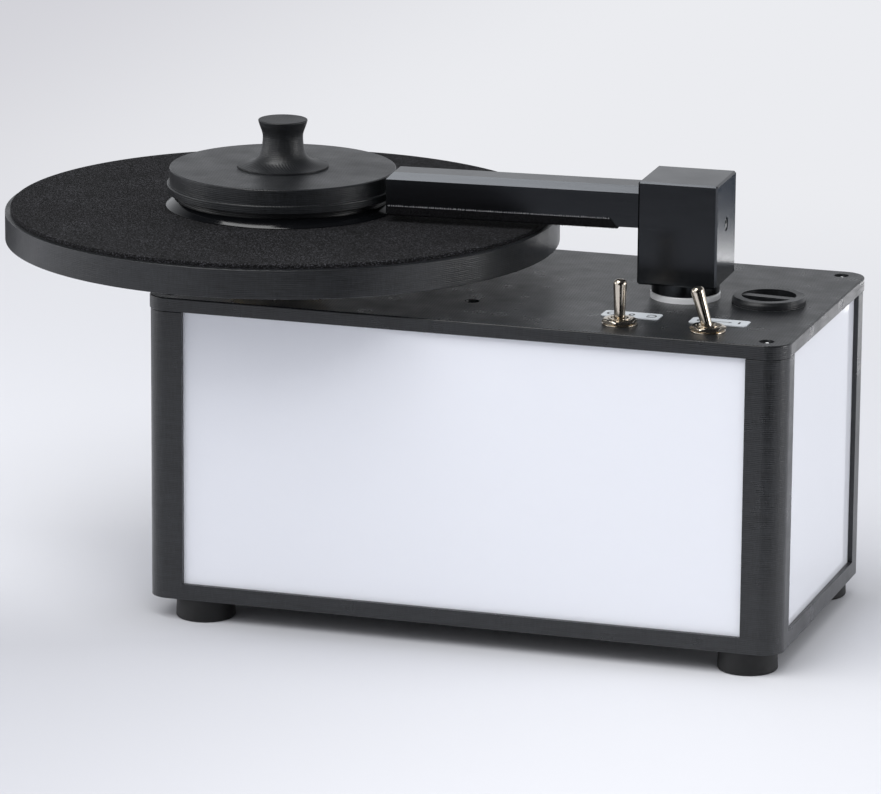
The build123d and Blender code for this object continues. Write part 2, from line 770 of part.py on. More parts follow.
with BuildPart() as arm_bar:
    with BuildSketch(across(arm_frame, bar_start)):
        with BuildLine():
            Polyline(*arm_section, close=True)
        make_face()
    extrude(amount=arm_reach - bar_start)
    tip_face = arm_bar.faces().sort_by(arm_frame.location.x_axis)[-1]
    chamfer(tip_face.edges().sort_by(Axis.Z)[-1], arm_chamfer)
    with BuildSketch(across(arm_frame, bar_start)):
        with Locations((0, duct_z)):
            Circle(duct_diameter / 2)
    extrude(amount=arm_reach - bar_start, mode=Mode.SUBTRACT)
    with BuildSketch(arm_frame.offset(arm_z)):
        with Locations(((velvet_start + arm_reach - arm_tenon) / 2, 0)):
            Rectangle(arm_reach - arm_tenon - velvet_start, slot_width)
    extrude(amount=arm_height / 2, mode=Mode.SUBTRACT)
keep(arm_bar.part, "arm_bar")

with BuildPart() as arm_end_plug:
    with BuildSketch(across(arm_frame, arm_reach - arm_tenon)):
        with Locations((0, duct_z)):
            Circle(duct_diameter / 2)
    extrude(amount=arm_tenon - fit_gap)
keep(arm_end_plug.part, "arm_end_plug")

velvet_end = arm_reach - velvet_end_inset
skirt_top = arm_z + velvet_skirt - velvet_thickness
for name, side in (("velvet_front", 1), ("velvet_rear", -1)):
    with BuildPart() as velvet:
        with BuildSketch(across(arm_frame, velvet_start)):
            with BuildLine():
                Polyline(
                    (side * slot_width / 2, arm_z),
                    (side * arm_width / 2, arm_z),
                    (side * arm_width / 2, skirt_top),
                    (side * (arm_width / 2 + velvet_thickness), skirt_top),
                    (side * (arm_width / 2 + velvet_thickness), arm_z - velvet_thickness),
                    (side * slot_width / 2, arm_z - velvet_thickness),
                    close=True,
                )
            make_face()
        extrude(amount=velvet_end - velvet_start)
    keep(velvet.part, name)

with BuildPart() as tower_block:
    with BuildSketch(tower_frame.offset(tower_z)):
        Rectangle(tower_side, tower_side)
    extrude(amount=tower_height)
    chamfer(tower_block.edges(), tower_bevel)
    with BuildSketch(arm_frame.offset(tower_z)):
        Circle(tube_diameter / 2)
    extrude(amount=tube_top, mode=Mode.SUBTRACT)
    with BuildSketch(arm_frame.offset(tower_z + tube_top)):
        Circle(tube_diameter / 2 - tube_wall)
    extrude(amount=duct_z + duct_diameter / 2 + tube_wall - tower_z - tube_top, mode=Mode.SUBTRACT)
    with BuildSketch(across(arm_frame, 0)):
        with Locations((0, duct_z)):
            Circle(duct_diameter / 2)
    extrude(amount=tower_face, mode=Mode.SUBTRACT)
    with BuildSketch(across(arm_frame, bar_start)):
        with BuildLine():
            Polyline(*arm_section, close=True)
        make_face()
    extrude(amount=2 * arm_tenon, mode=Mode.SUBTRACT)
    with BuildSketch(across(tower_frame, -tower_face)):
        with Locations((0, tower_z + grub_height)):
            Circle(grub_diameter / 2)
    extrude(amount=tower_face, mode=Mode.SUBTRACT)
keep(tower_block.part, "tower_block")

grub_sink = tower_face - tube_diameter / 2 - grub_length
with BuildPart() as grub_screw:
    with BuildSketch(across(tower_frame, grub_sink - tower_face)):
        with Locations((0, tower_z + grub_height)):
            Circle(grub_diameter / 2)
            RegularPolygon(grub_diameter / 4, hexagon_side_count, mode=Mode.SUBTRACT)
    extrude(amount=grub_length / 2)
    with BuildSketch(across(tower_frame, grub_sink + grub_length / 2 - tower_face)):
        with Locations((0, tower_z + grub_height)):
            Circle(grub_diameter / 2)
    extrude(amount=grub_length / 2)
keep(grub_screw.part, "grub_screw")

ring_top = lid_z + ring_height
with BuildPart() as arm_collar:
    with BuildSketch(arm_frame.offset(ring_top + fit_gap)):
        Circle(collar_diameter / 2)
        Circle(tube_diameter / 2, mode=Mode.SUBTRACT)
    extrude(amount=tower_z - ring_top - fit_gap)
keep(arm_collar.part, "arm_collar")

tube_bottom = tank_top - tube_dip
with BuildPart() as arm_tube:
    with BuildSketch(arm_frame.offset(tube_bottom)):
        Circle(tube_diameter / 2)
        Circle(tube_diameter / 2 - tube_wall, mode=Mode.SUBTRACT)
    extrude(amount=tower_z + tube_top - tube_bottom)
keep(arm_tube.part, "arm_tube")

with BuildPart() as bearing_ring:
    with BuildSketch(pivot_frame.offset(lid_z)):
        Circle(ring_diameter / 2)
    extrude(amount=ring_height)
    chamfer(bearing_ring.faces().sort_by(Axis.Z)[-1].edges(), lid_edge_round / 2)
    with BuildSketch(pivot_frame.offset(lid_z)):
        Circle(ring_barrel_diameter / 2)
    extrude(amount=-(lid_thickness + ring_barrel_length))
    with BuildSketch(pivot_frame.offset(ring_top)):
        Circle(tube_diameter / 2 + running_clearance)
    extrude(amount=-(ring_height + lid_thickness + ring_barrel_length), mode=Mode.SUBTRACT)
keep(bearing_ring.part, "bearing_ring")

with BuildPart() as bearing_nut:
    with BuildSketch(pivot_frame.offset(seam_z)):
        Circle(ring_nut_diameter / 2)
        Circle(ring_barrel_diameter / 2, mode=Mode.SUBTRACT)
        with PolarLocations(ring_nut_diameter / 2, ring_nut_slot_count):
            Rectangle(ring_nut_height, ring_nut_height, mode=Mode.SUBTRACT)
    extrude(amount=-ring_nut_height)
keep(bearing_nut.part, "bearing_nut")

retainer_top = seam_z - ring_barrel_length - fit_gap
with BuildPart() as tube_retainer:
    with BuildSketch(pivot_frame.offset(retainer_top)):
        Circle(retainer_diameter / 2)
        Circle(tube_diameter / 2, mode=Mode.SUBTRACT)
    extrude(amount=-retainer_height)
    retainer_rims = tube_retainer.edges().filter_by(GeomType.CIRCLE).sort_by(SortBy.RADIUS)[-2:]
    chamfer(retainer_rims, platter_edge_round)
keep(tube_retainer.part, "tube_retainer")

# ---------------------------------------------------------------- waste tank and its cap
tank_x = right_x - rail_thickness - fit_gap - tank_width / 2
hose_z = tank_top - tank_corner - hose_diameter
tank_side = Plane(origin=(tank_x - tank_width / 2, 0, hose_z), x_dir=(0, 1, 0), z_dir=(-1, 0, 0))
spigot_radius = hose_diameter / 2 - hose_wall

with BuildPart() as waste_tank:
    with BuildSketch(Plane.XY.offset(tank_z)):
        with Locations((tank_x, 0)):
            RectangleRounded(tank_width, tank_depth, tank_corner)
    extrude(amount=tank_height)
    fillet(waste_tank.faces().sort_by(Axis.Z)[-1].edges(), 2 * tank_wall)
    with BuildSketch(tank_side):
        Circle(spigot_radius)
    extrude(amount=pump_spigot_length)
    with BuildSketch(cap_frame.offset(tank_top)):
        Circle(neck_outer / 2)
    extrude(amount=lid_z - tank_top)
    with BuildSketch(Plane.XY.offset(tank_z + tank_wall)):
        with Locations((tank_x, 0)):
            RectangleRounded(
                tank_width - 2 * tank_wall, tank_depth - 2 * tank_wall, tank_corner - tank_wall
            )
    extrude(amount=tank_height - 2 * tank_wall, mode=Mode.SUBTRACT)
    with BuildSketch(Plane.XY.offset(tank_top - tank_wall)):
        with Locations((cap_x, 0)):
            Circle(neck_diameter / 2)
        with Locations((pivot_x, 0)):
            Circle(inlet_seal_waist / 2)
    extrude(amount=lid_z - tank_top + tank_wall, mode=Mode.SUBTRACT)
    with BuildSketch(tank_side.offset(-tank_wall)):
        Circle(spigot_radius - tank_wall)
    extrude(amount=pump_spigot_length + tank_wall, mode=Mode.SUBTRACT)
keep(waste_tank.part, "waste_tank")

with BuildPart() as tank_inlet_seal:
    with BuildSketch(pivot_frame.offset(tank_top - tank_wall - inlet_seal_lip)):
        Circle(inlet_seal_diameter / 2)
    extrude(amount=tank_wall + 2 * inlet_seal_lip)
    with BuildSketch(pivot_frame.offset(tank_top - tank_wall)):
        Circle(inlet_seal_diameter)
        Circle(inlet_seal_waist / 2, mode=Mode.SUBTRACT)
    extrude(amount=tank_wall, mode=Mode.SUBTRACT)
    with BuildSketch(pivot_frame.offset(tank_top + inlet_seal_lip)):
        Circle(tube_diameter / 2 + fit_gap)
    extrude(amount=-(tank_wall + 2 * inlet_seal_lip), mode=Mode.SUBTRACT)
keep(tank_inlet_seal.part, "tank_inlet_seal")

cap_bottom = lid_z + fit_gap
cap_top = cap_bottom + cap_height
seal_groove_z = cap_bottom - cap_plug_depth / 2
with BuildPart() as tank_cap:
    with BuildSketch(cap_frame.offset(cap_bottom)):
        Circle(cap_diameter / 2)
    extrude(amount=cap_height)
    chamfer(tank_cap.faces().sort_by(Axis.Z)[-1].edges(), cap_bevel, cap_bevel / 2)
    with BuildSketch(cap_frame.offset(cap_bottom)):
        Circle(cap_plug_diameter / 2)
    extrude(amount=-cap_plug_depth)
    chamfer(tank_cap.faces().sort_by(Axis.Z)[0].edges(), cap_seal_diameter / 2)
    with BuildSketch(cap_frame.offset(cap_top)):
        Circle(cap_well_diameter / 2)
    extrude(amount=-cap_well_depth, mode=Mode.SUBTRACT)
    with BuildSketch(cap_frame.offset(cap_top - cap_well_depth)):
        Rectangle(cap_well_diameter, cap_bar_width, rotation=-cap_bar_angle)
        Circle(cap_well_diameter / 2, mode=Mode.INTERSECT)
    extrude(amount=cap_well_depth - cap_bar_drop)
    with BuildSketch(cap_frame.offset(seal_groove_z - cap_seal_diameter / 2)):
        Circle(cap_plug_diameter)
        Circle(cap_plug_diameter / 2 - cap_seal_diameter, mode=Mode.SUBTRACT)
    extrude(amount=cap_seal_diameter, mode=Mode.SUBTRACT)
keep(tank_cap.part, "tank_cap")

seal_outer = neck_diameter / 2 - running_clearance
with BuildPart() as cap_seal:
    with BuildSketch(cap_section):
        with Locations((seal_outer - cap_seal_diameter / 2, seal_groove_z)):
            Circle(cap_seal_diameter / 2)
    revolve(axis=cap_axis)
keep(cap_seal.part, "cap_seal")

# ---------------------------------------------------------------- vacuum pump and its hose
bracket_width = bracket_bolt_x + 2 * bracket_margin
bracket_depth = bracket_bolt_y + 2 * bracket_margin
pump_motor_z = seam_z - bracket_thickness
pump_fan_z = pump_motor_z - pump_motor_height
with BuildPart() as vacuum_bracket:
    with BuildSketch(Plane.XY.offset(seam_z)):
        with Locations((pump_x, 0)):
            RectangleRounded(bracket_width, bracket_depth, bracket_margin)
            Circle(pump_motor_diameter / 4, mode=Mode.SUBTRACT)
        with Locations(*bracket_bolts):
            Circle(screw_diameter / 2, mode=Mode.SUBTRACT)
    extrude(amount=-bracket_thickness)
keep(vacuum_bracket.part, "vacuum_bracket")

pump_side = Plane(origin=(pump_x, 0, hose_z), x_dir=(0, 1, 0), z_dir=(1, 0, 0))
with BuildPart() as vacuum_motor:
    with BuildSketch(pump_frame.offset(pump_motor_z)):
        Circle(pump_motor_diameter / 2)
    extrude(amount=-pump_motor_height)
    with BuildSketch(pump_frame.offset(pump_fan_z)):
        Circle(pump_fan_diameter / 2)
    extrude(amount=-pump_fan_height)
    fan_rims = vacuum_motor.edges().filter_by(GeomType.CIRCLE).sort_by(SortBy.RADIUS)[-2:]
    fillet(fan_rims, pump_fan_round)
    with BuildSketch(pump_frame.offset(pump_fan_z - pump_fan_height)):
        Circle(pump_cap_diameter / 2)
    extrude(amount=-pump_cap_height)
    with BuildSketch(pump_side):
        Circle(spigot_radius)
    extrude(amount=pump_fan_diameter / 2 + pump_spigot_length)
keep(vacuum_motor.part, "vacuum_motor")

hose_start = pump_fan_diameter / 2 + pump_spigot_length - hose_overlap
hose_end = tank_x - tank_width / 2 - pump_spigot_length + hose_overlap - pump_x
with BuildPart() as vacuum_hose:
    with BuildSketch(pump_side.offset(hose_start)):
        Circle(hose_diameter / 2)
        Circle(spigot_radius, mode=Mode.SUBTRACT)
    extrude(amount=hose_end - hose_start)
keep(vacuum_hose.part, "vacuum_hose")

# ---------------------------------------------------------------- mains side
supply_x = left_x + supply_inset
with BuildPart() as power_supply:
    with BuildSketch(Plane.XY.offset(floor_z)):
        with Locations((supply_x, 0)):
            Rectangle(supply_width, supply_depth)
    extrude(amount=supply_height)
    fillet(power_supply.edges().filter_by(Axis.Z), supply_round)
    with BuildSketch(Plane.XY.offset(floor_z + supply_height)):
        with Locations((supply_x, 0)):
            with GridLocations(supply_slot_pitch, supply_slot_length, supply_slot_count, 1):
                SlotOverall(supply_slot_length, supply_slot_width, rotation=90)
    extrude(amount=-supply_slot_depth, mode=Mode.SUBTRACT)
keep(power_supply.part, "power_supply")

with BuildPart() as power_inlet:
    with BuildSketch(rear_face):
        with Locations(inlet_place):
            RectangleRounded(inlet_width + 2 * inlet_rim, inlet_height + 2 * inlet_rim, inlet_rim)
    extrude(amount=inlet_flange)
    with BuildSketch(rear_face):
        with Locations(inlet_place):
            Rectangle(inlet_width - 2 * groove_slack, inlet_height - 2 * groove_slack)
    extrude(amount=-inlet_shell)
    with BuildSketch(rear_face.offset(inlet_flange)):
        with Locations(inlet_place):
            RectangleRounded(inlet_width - inlet_rim, inlet_height - inlet_rim, inlet_rim)
    extrude(amount=-inlet_cavity_depth, mode=Mode.SUBTRACT)
    with BuildSketch(rear_face.offset(inlet_flange - inlet_cavity_depth)):
        with Locations(inlet_place):
            with Locations((-inlet_pin_pitch, 0), (0, inlet_pin_width), (inlet_pin_pitch, 0)):
                Rectangle(inlet_pin_thickness, inlet_pin_width)
    extrude(amount=inlet_pin_length)
keep(power_inlet.part, "power_inlet")

vent_count = int((vent_width - 2 * vent_border) // (vent_slot + vent_rib))
with BuildPart() as vent_grille:
    with BuildSketch(rear_face):
        with Locations(vent_place):
            RectangleRounded(vent_width, vent_height, vent_flange)
    extrude(amount=vent_flange)
    with BuildSketch(rear_face):
        with Locations(vent_place):
            Rectangle(
                vent_width - 2 * vent_border - 2 * groove_slack,
                vent_height - 2 * vent_border - 2 * groove_slack,
            )
    extrude(amount=-panel_thickness)
    with BuildSketch(rear_face.offset(vent_flange)):
        with Locations(vent_place):
            with GridLocations(vent_slot + vent_rib, vent_height, vent_count, 1):
                Rectangle(vent_slot, vent_height - 2 * vent_border - 2 * vent_rib)
    extrude(amount=-(vent_flange + panel_thickness), mode=Mode.SUBTRACT)
keep(vent_grille.part, "vent_grille")

# ---------------------------------------------------------------- toggle switches
lever_z = lid_z + lever_pivot
lever_length = lever_rise - lever_pivot
nut_z = lid_z + washer_thickness
for number, (switch_x, switch_front) in switch_places.items():
    switch_frame = Plane(origin=(switch_x, switch_front, 0))
    with BuildPart() as switch_body:
        with BuildSketch(switch_frame.offset(seam_z)):
            Rectangle(switch_body_length, switch_body_width)
        extrude(amount=-switch_body_height)
        fillet(switch_body.edges().filter_by(Axis.Z), lid_edge_round)
        with BuildSketch(switch_frame.offset(seam_z - switch_body_height)):
            with GridLocations(switch_tag_pitch_x, switch_tag_pitch_y, 3, 2):
                Rectangle(switch_tag_thickness, switch_tag_width)
        extrude(amount=-switch_tag_length)
        with BuildSketch(switch_frame.offset(seam_z)):
            Circle(switch_bushing / 2)
        extrude(amount=lid_thickness + switch_bushing_rise)
        with BuildSketch(switch_frame.offset(lever_z)):
            Circle(lever_ball / 2 + fit_gap)
        with BuildSketch(switch_frame.offset(lid_z + switch_bushing_rise)):
            Circle(switch_bushing_bore / 2)
        loft(mode=Mode.SUBTRACT)
        with BuildSketch(switch_frame.offset(lever_z)):
            Circle(lever_ball / 2 + fit_gap)
        extrude(amount=-lever_ball, mode=Mode.SUBTRACT)
    keep(switch_body.part, f"switch_body_{number}")

    with BuildPart() as switch_label:
        with BuildSketch(switch_frame.offset(lid_z)):
            with Locations((label_offset_x, label_offset_y)):
                Rectangle(label_length, label_width)
            chamfer(vertices(), label_corner)
        extrude(amount=label_thickness)
    keep(switch_label.part, f"switch_label_{number}")

with BuildPart() as switch_washers:
    with BuildSketch(Plane.XY.offset(lid_z)):
        with Locations(*switch_places.values()):
            Circle(washer_diameter / 2)
            Circle(switch_bushing / 2 + groove_slack, mode=Mode.SUBTRACT)
    extrude(amount=washer_thickness)
keep(switch_washers.part, "switch_washers")

with BuildPart() as switch_nuts:
    with BuildSketch(Plane.XY.offset(nut_z)):
        for number, (switch_x, switch_front) in switch_places.items():
            with Locations(Location((switch_x, switch_front, 0), (0, 0, nut_turns[number]))):
                RegularPolygon(nut_across_flats / 2, hexagon_side_count, major_radius=False)
                Circle(switch_bushing / 2, mode=Mode.SUBTRACT)
    extrude(amount=nut_thickness)
keep(switch_nuts.part, "switch_nuts")

for name, lean, (switch_x, switch_front) in (
    ("toggle_lever_1", 0, switch_places["1"]),
    ("toggle_lever_2", -switch_lean, switch_places["2"]),
):
    along = (sin(radians(lean)), 0, cos(radians(lean)))
    lever_axis = Plane(origin=(switch_x, switch_front, lever_z), x_dir=(0, 1, 0), z_dir=along)
    with BuildPart() as toggle_lever:
        with BuildSketch(lever_axis):
            Circle(lever_root / 2)
        with BuildSketch(lever_axis.offset(lever_length)):
            Circle(lever_tip / 2)
        loft()
        tip_edge = toggle_lever.faces().sort_by(Axis.Z)[-1].edges()
        fillet(tip_edge, lever_tip / 3)
        with Locations(lever_axis.location):
            Sphere(lever_ball / 2)
        pin_end = (switch_x, switch_front - lever_pin_length / 2, lever_z)
        with BuildSketch(Plane(origin=pin_end, z_dir=(0, 1, 0))):
            Circle(lever_pin / 2)
        extrude(amount=lever_pin_length)
    keep(toggle_lever.part, name)
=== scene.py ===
import math
import random

import bmesh
import bpy
from mathutils import Matrix, Vector


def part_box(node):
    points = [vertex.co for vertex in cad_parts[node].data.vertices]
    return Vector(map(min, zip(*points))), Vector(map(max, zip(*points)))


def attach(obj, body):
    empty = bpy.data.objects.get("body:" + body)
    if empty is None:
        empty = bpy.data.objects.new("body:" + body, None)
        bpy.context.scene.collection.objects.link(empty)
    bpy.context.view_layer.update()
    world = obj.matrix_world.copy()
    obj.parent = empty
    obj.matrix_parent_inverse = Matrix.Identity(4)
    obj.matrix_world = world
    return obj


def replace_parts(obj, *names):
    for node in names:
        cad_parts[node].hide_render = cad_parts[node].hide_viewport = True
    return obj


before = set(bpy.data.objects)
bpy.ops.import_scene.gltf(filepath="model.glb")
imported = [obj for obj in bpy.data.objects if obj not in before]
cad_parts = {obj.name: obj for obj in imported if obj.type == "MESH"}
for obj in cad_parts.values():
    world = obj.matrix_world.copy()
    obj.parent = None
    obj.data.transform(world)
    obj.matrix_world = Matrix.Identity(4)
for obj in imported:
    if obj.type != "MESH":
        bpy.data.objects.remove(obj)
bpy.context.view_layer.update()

# Record cleaning machine: the looks. Everything is in metres, in the frame's own axes: X to the right,
# Y to the rear, Z up from the floor that the feet stand on.
MM = 0.001

# ---------------------------------------------------------------- camera
VIEW_YAW = math.radians(17.6)  # round to the right from straight in front
VIEW_PITCH = math.radians(14.21)  # looking down
VIEW_ROLL = math.radians(0.43)
VIEW_DISTANCE = 3.127
VIEW_POINT = Vector((0.0121, 0.0013, 0.1107))
LENS, SENSOR_WIDTH = 236.3, 36.0  # mm
CLIP_NEAR, CLIP_FAR = 0.1, 50.0


def place_camera():
    turn = Matrix.Rotation(VIEW_YAW, 4, "Z") @ Matrix.Rotation(math.pi / 2 - VIEW_PITCH, 4, "X")
    turn = turn @ Matrix.Rotation(VIEW_ROLL, 4, "Z")
    backwards = turn.to_3x3() @ Vector((0, 0, 1))
    camera = bpy.data.objects.new("camera", bpy.data.cameras.new("camera"))
    camera.matrix_world = Matrix.Translation(VIEW_POINT + VIEW_DISTANCE * backwards) @ turn
    camera.data.lens = LENS
    camera.data.sensor_width = SENSOR_WIDTH
    camera.data.clip_start = CLIP_NEAR
    camera.data.clip_end = CLIP_FAR
    bpy.context.scene.collection.objects.link(camera)
    bpy.context.scene.camera = camera


# ---------------------------------------------------------------- colours and nodes
# A mix node has its own sockets for numbers, for vectors and for colours.
MIX_AMOUNT = 0
FIRST_NUMBER, SECOND_NUMBER, MIXED_NUMBER = 2, 3, 0
FIRST_VECTOR, SECOND_VECTOR, MIXED_VECTOR = 4, 5, 1
FIRST_COLOUR, SECOND_COLOUR, MIXED_COLOUR = 6, 7, 2


def linear(code):
    """An sRGB colour, written as #RRGGBB, in linear RGBA."""
    shades = [int(code[place : place + 2], 16) / 255 for place in (1, 3, 5)]
    return [s / 12.92 if s <= 0.04045 else ((s + 0.055) / 1.055) ** 2.4 for s in shades] + [1.0]


def add(tree, kind, sockets=None, **settings):
    """Adds a shader node with its settings. A socket takes a value, a colour or what is linked to it."""
    node = tree.nodes.new("ShaderNode" + kind)
    for setting, value in settings.items():
        setattr(node, setting, value)
    for socket, value in (sockets or {}).items():
        if isinstance(value, bpy.types.NodeSocket):
            tree.links.new(value, node.inputs[socket])
        elif isinstance(value, str):
            node.inputs[socket].default_value = linear(value)
        else:
            node.inputs[socket].default_value = value
    return node


def new_finish(name):
    """A material of that name, and its node tree, still empty."""
    finish = bpy.data.materials.new(name)
    finish.use_nodes = True
    finish.node_tree.nodes.clear()
    return finish, finish.node_tree


def bands(spacing):
    """The scale at which a wave texture repeats once in that many metres."""
    return math.pi / (10 * spacing)


# ---------------------------------------------------------------- finishes
def raster_lines(tree, point):
    """How high a printed top stands: diagonal raster lines under a fine grain. The lines are 0.4 mm
    apart in truth, and are drawn coarser so that they show."""
    raster, grain = 1.5 * MM, 0.8 * MM
    diagonal = add(tree, "Mapping", {"Vector": point, "Rotation": (0, 0, -math.pi / 4)}).outputs[0]
    rows = add(tree, "TexWave", {"Vector": diagonal, "Scale": bands(raster), "Distortion": 0.8,
                                 "Detail": 1.0, "Detail Scale": 0.3}).outputs["Fac"]
    grains = add(tree, "TexNoise", {"Vector": point, "Scale": 1 / grain, "Detail": 2.0}).outputs["Fac"]
    return add(tree, "Math", {0: rows, 1: grains}, operation="ADD").outputs[0]


def layer_lines(tree, point):
    """How far a printed side stands out: level layers and streaks, crossed by faint upright strings. The
    layers are 0.2 mm high in truth, and are drawn coarser so that they show."""
    layer, layer_share = 1.0 * MM, 0.45
    streak_length, streak_height, string_width, string_length = 9 * MM, 1.1 * MM, 1.0 * MM, 7 * MM
    layers = add(tree, "TexWave", {"Vector": point, "Scale": bands(layer), "Distortion": 1.2,
                                   "Detail": 1.0, "Detail Scale": 0.3}, bands_direction="Z").outputs["Fac"]
    level = add(tree, "Mapping", {"Vector": point, "Scale": (1 / streak_length, 1 / streak_length,
                                                             1 / streak_height)}).outputs[0]
    upright = add(tree, "Mapping", {"Vector": point, "Scale": (1 / string_width, 1 / string_width,
                                                               1 / string_length)}).outputs[0]
    streaks = add(tree, "TexNoise", {"Vector": level, "Scale": 1.0, "Detail": 2.0}).outputs["Fac"]
    strings = add(tree, "TexNoise", {"Vector": upright, "Scale": 1.0, "Detail": 2.0}).outputs["Fac"]
    weave = add(tree, "Math", {0: streaks, 1: strings}, operation="ADD").outputs[0]
    return add(tree, "Math", {0: layers, 1: layer_share, 2: weave}, operation="MULTIPLY_ADD").outputs[0]


def printed_plastic(name, dark, light, roughness, layer_depth, raster_depth):
    """Black PETG laid down by a 3D printer: satin, with faint smudges. The layers of its sides smear
    highlights up and down, and the lines of its tops dull them. Hollows are darker than ridges: painted shade
    of the fine relief, put into the colour."""
    smudge, uneven = 16 * MM, 0.05
    finish, tree = new_finish(name)
    coordinates = add(tree, "TexCoord").outputs
    point = coordinates["Object"]
    axes = add(tree, "SeparateXYZ", {0: coordinates["Normal"]}).outputs
    upward = add(tree, "MapRange", {"Value": axes["Z"], "From Min": 0.7, "From Max": 0.85}).outputs[0]
    walls, tops = layer_lines(tree, point), raster_lines(tree, point)
    wall_bump = add(tree, "Bump", {"Height": walls, "Strength": 1.0, "Distance": layer_depth}).outputs[0]
    top_bump = add(tree, "Bump", {"Height": tops, "Strength": 1.0, "Distance": raster_depth}).outputs[0]
    bump = add(tree, "Mix", {MIX_AMOUNT: upward, FIRST_VECTOR: wall_bump, SECOND_VECTOR: top_bump},
               data_type="VECTOR").outputs[MIXED_VECTOR]
    # Painted shade: the colour is darker in the hollows of the layer and raster lines than on their ridges.
    wall_painted_shade = add(tree, "MapRange", {"Value": walls, "From Min": 0.7, "From Max": 1.8}).outputs[0]
    top_painted_shade = add(tree, "MapRange", {"Value": tops, "From Min": 0.4, "From Max": 1.6}).outputs[0]
    tone = add(tree, "Mix", {MIX_AMOUNT: upward, FIRST_NUMBER: wall_painted_shade,
                             SECOND_NUMBER: top_painted_shade}).outputs[MIXED_NUMBER]
    colour = add(tree, "Mix", {MIX_AMOUNT: tone, FIRST_COLOUR: dark, SECOND_COLOUR: light},
                 data_type="RGBA").outputs[MIXED_COLOUR]
    smudges = add(tree, "TexNoise", {"Vector": point, "Scale": 1 / smudge, "Detail": 3.0}).outputs["Fac"]
    polish = add(tree, "MapRange", {"Value": smudges, "From Min": 0.3, "From Max": 0.7,
                                    "To Min": roughness - uneven, "To Max": roughness + uneven}).outputs[0]
    shader = add(tree, "BsdfPrincipled", {"Base Color": colour, "Roughness": polish, "IOR": 1.57,
                                          "Normal": bump})
    add(tree, "OutputMaterial", {"Surface": shader.outputs[0]})
    return finish


def opal_acrylic():
    """Cast opal acrylic sheet: a milky white body under a polished skin that mirrors softly."""
    ripple, ripple_depth = 60 * MM, 0.05 * MM
    finish, tree = new_finish("opal_acrylic")
    point = add(tree, "TexCoord").outputs["Object"]
    ripples = add(tree, "TexNoise", {"Vector": point, "Scale": 1 / ripple, "Detail": 1.0}).outputs["Fac"]
    bump = add(tree, "Bump", {"Height": ripples, "Strength": 1.0, "Distance": ripple_depth}).outputs[0]
    shader = add(tree, "BsdfPrincipled", {"Base Color": "#E6E8EE", "Roughness": 0.09, "IOR": 1.49,
                                          "Subsurface Weight": 0.2, "Subsurface Radius": (1.0, 1.0, 1.0),
                                          "Subsurface Scale": 1.5 * MM, "Normal": bump})
    add(tree, "OutputMaterial", {"Surface": shader.outputs[0]})
    return finish


def cellular_rubber():
    """Black cellular rubber sheet: matt, with cut cells under a millimetre wide that catch light as
    specks, fewer where the sheet is worn."""
    cell, cell_depth, speck, patch = 0.8 * MM, 0.12 * MM, 0.75 * MM, 22 * MM
    finish, tree = new_finish("cellular_rubber")
    point = add(tree, "TexCoord").outputs["Object"]
    cells = add(tree, "TexVoronoi", {"Vector": point, "Scale": 1 / cell}).outputs["Distance"]
    specks = add(tree, "TexNoise", {"Vector": point, "Scale": 1 / speck, "Detail": 2.0,
                                    "Roughness": 0.6}).outputs["Fac"]
    patches = add(tree, "TexNoise", {"Vector": point, "Scale": 1 / patch, "Detail": 2.0}).outputs["Fac"]
    lit = add(tree, "MapRange", {"Value": specks, "From Min": 0.5, "From Max": 0.66}).outputs[0]
    worn = add(tree, "MapRange", {"Value": patches, "From Min": 0.3, "From Max": 0.7, "To Min": 0.6,
                                  "To Max": 1.0}).outputs[0]
    amount = add(tree, "Math", {0: lit, 1: worn}, operation="MULTIPLY").outputs[0]
    colour = add(tree, "Mix", {MIX_AMOUNT: amount, FIRST_COLOUR: "#0B0B0C", SECOND_COLOUR: "#414145"},
                 data_type="RGBA").outputs[MIXED_COLOUR]
    bump = add(tree, "Bump", {"Height": cells, "Strength": 1.0, "Distance": cell_depth}).outputs[0]
    shader = add(tree, "BsdfPrincipled", {"Base Color": colour, "Roughness": 0.9, "IOR": 1.45,
                                          "Specular IOR Level": 0.25, "Normal": bump})
    add(tree, "OutputMaterial", {"Surface": shader.outputs[0]})
    return finish


def even_skin(name, colour, roughness, grain_depth):
    """Rubber or plastic as it leaves its mould, and ink and thread ends at this size: one colour, with
    a faint orange peel and patches that are a little duller."""
    peel, bloom, uneven = 1.2 * MM, 9 * MM, 0.04
    finish, tree = new_finish(name)
    point = add(tree, "TexCoord").outputs["Object"]
    peels = add(tree, "TexNoise", {"Vector": point, "Scale": 1 / peel, "Detail": 2.0}).outputs["Fac"]
    blooms = add(tree, "TexNoise", {"Vector": point, "Scale": 1 / bloom, "Detail": 2.0}).outputs["Fac"]
    polish = add(tree, "MapRange", {"Value": blooms, "From Min": 0.3, "From Max": 0.7,
                                    "To Min": roughness - uneven, "To Max": roughness + uneven}).outputs[0]
    bump = add(tree, "Bump", {"Height": peels, "Strength": 1.0, "Distance": grain_depth}).outputs[0]
    shader = add(tree, "BsdfPrincipled", {"Base Color": colour, "Roughness": polish, "IOR": 1.52,
                                          "Normal": bump})
    add(tree, "OutputMaterial", {"Surface": shader.outputs[0]})
    return finish


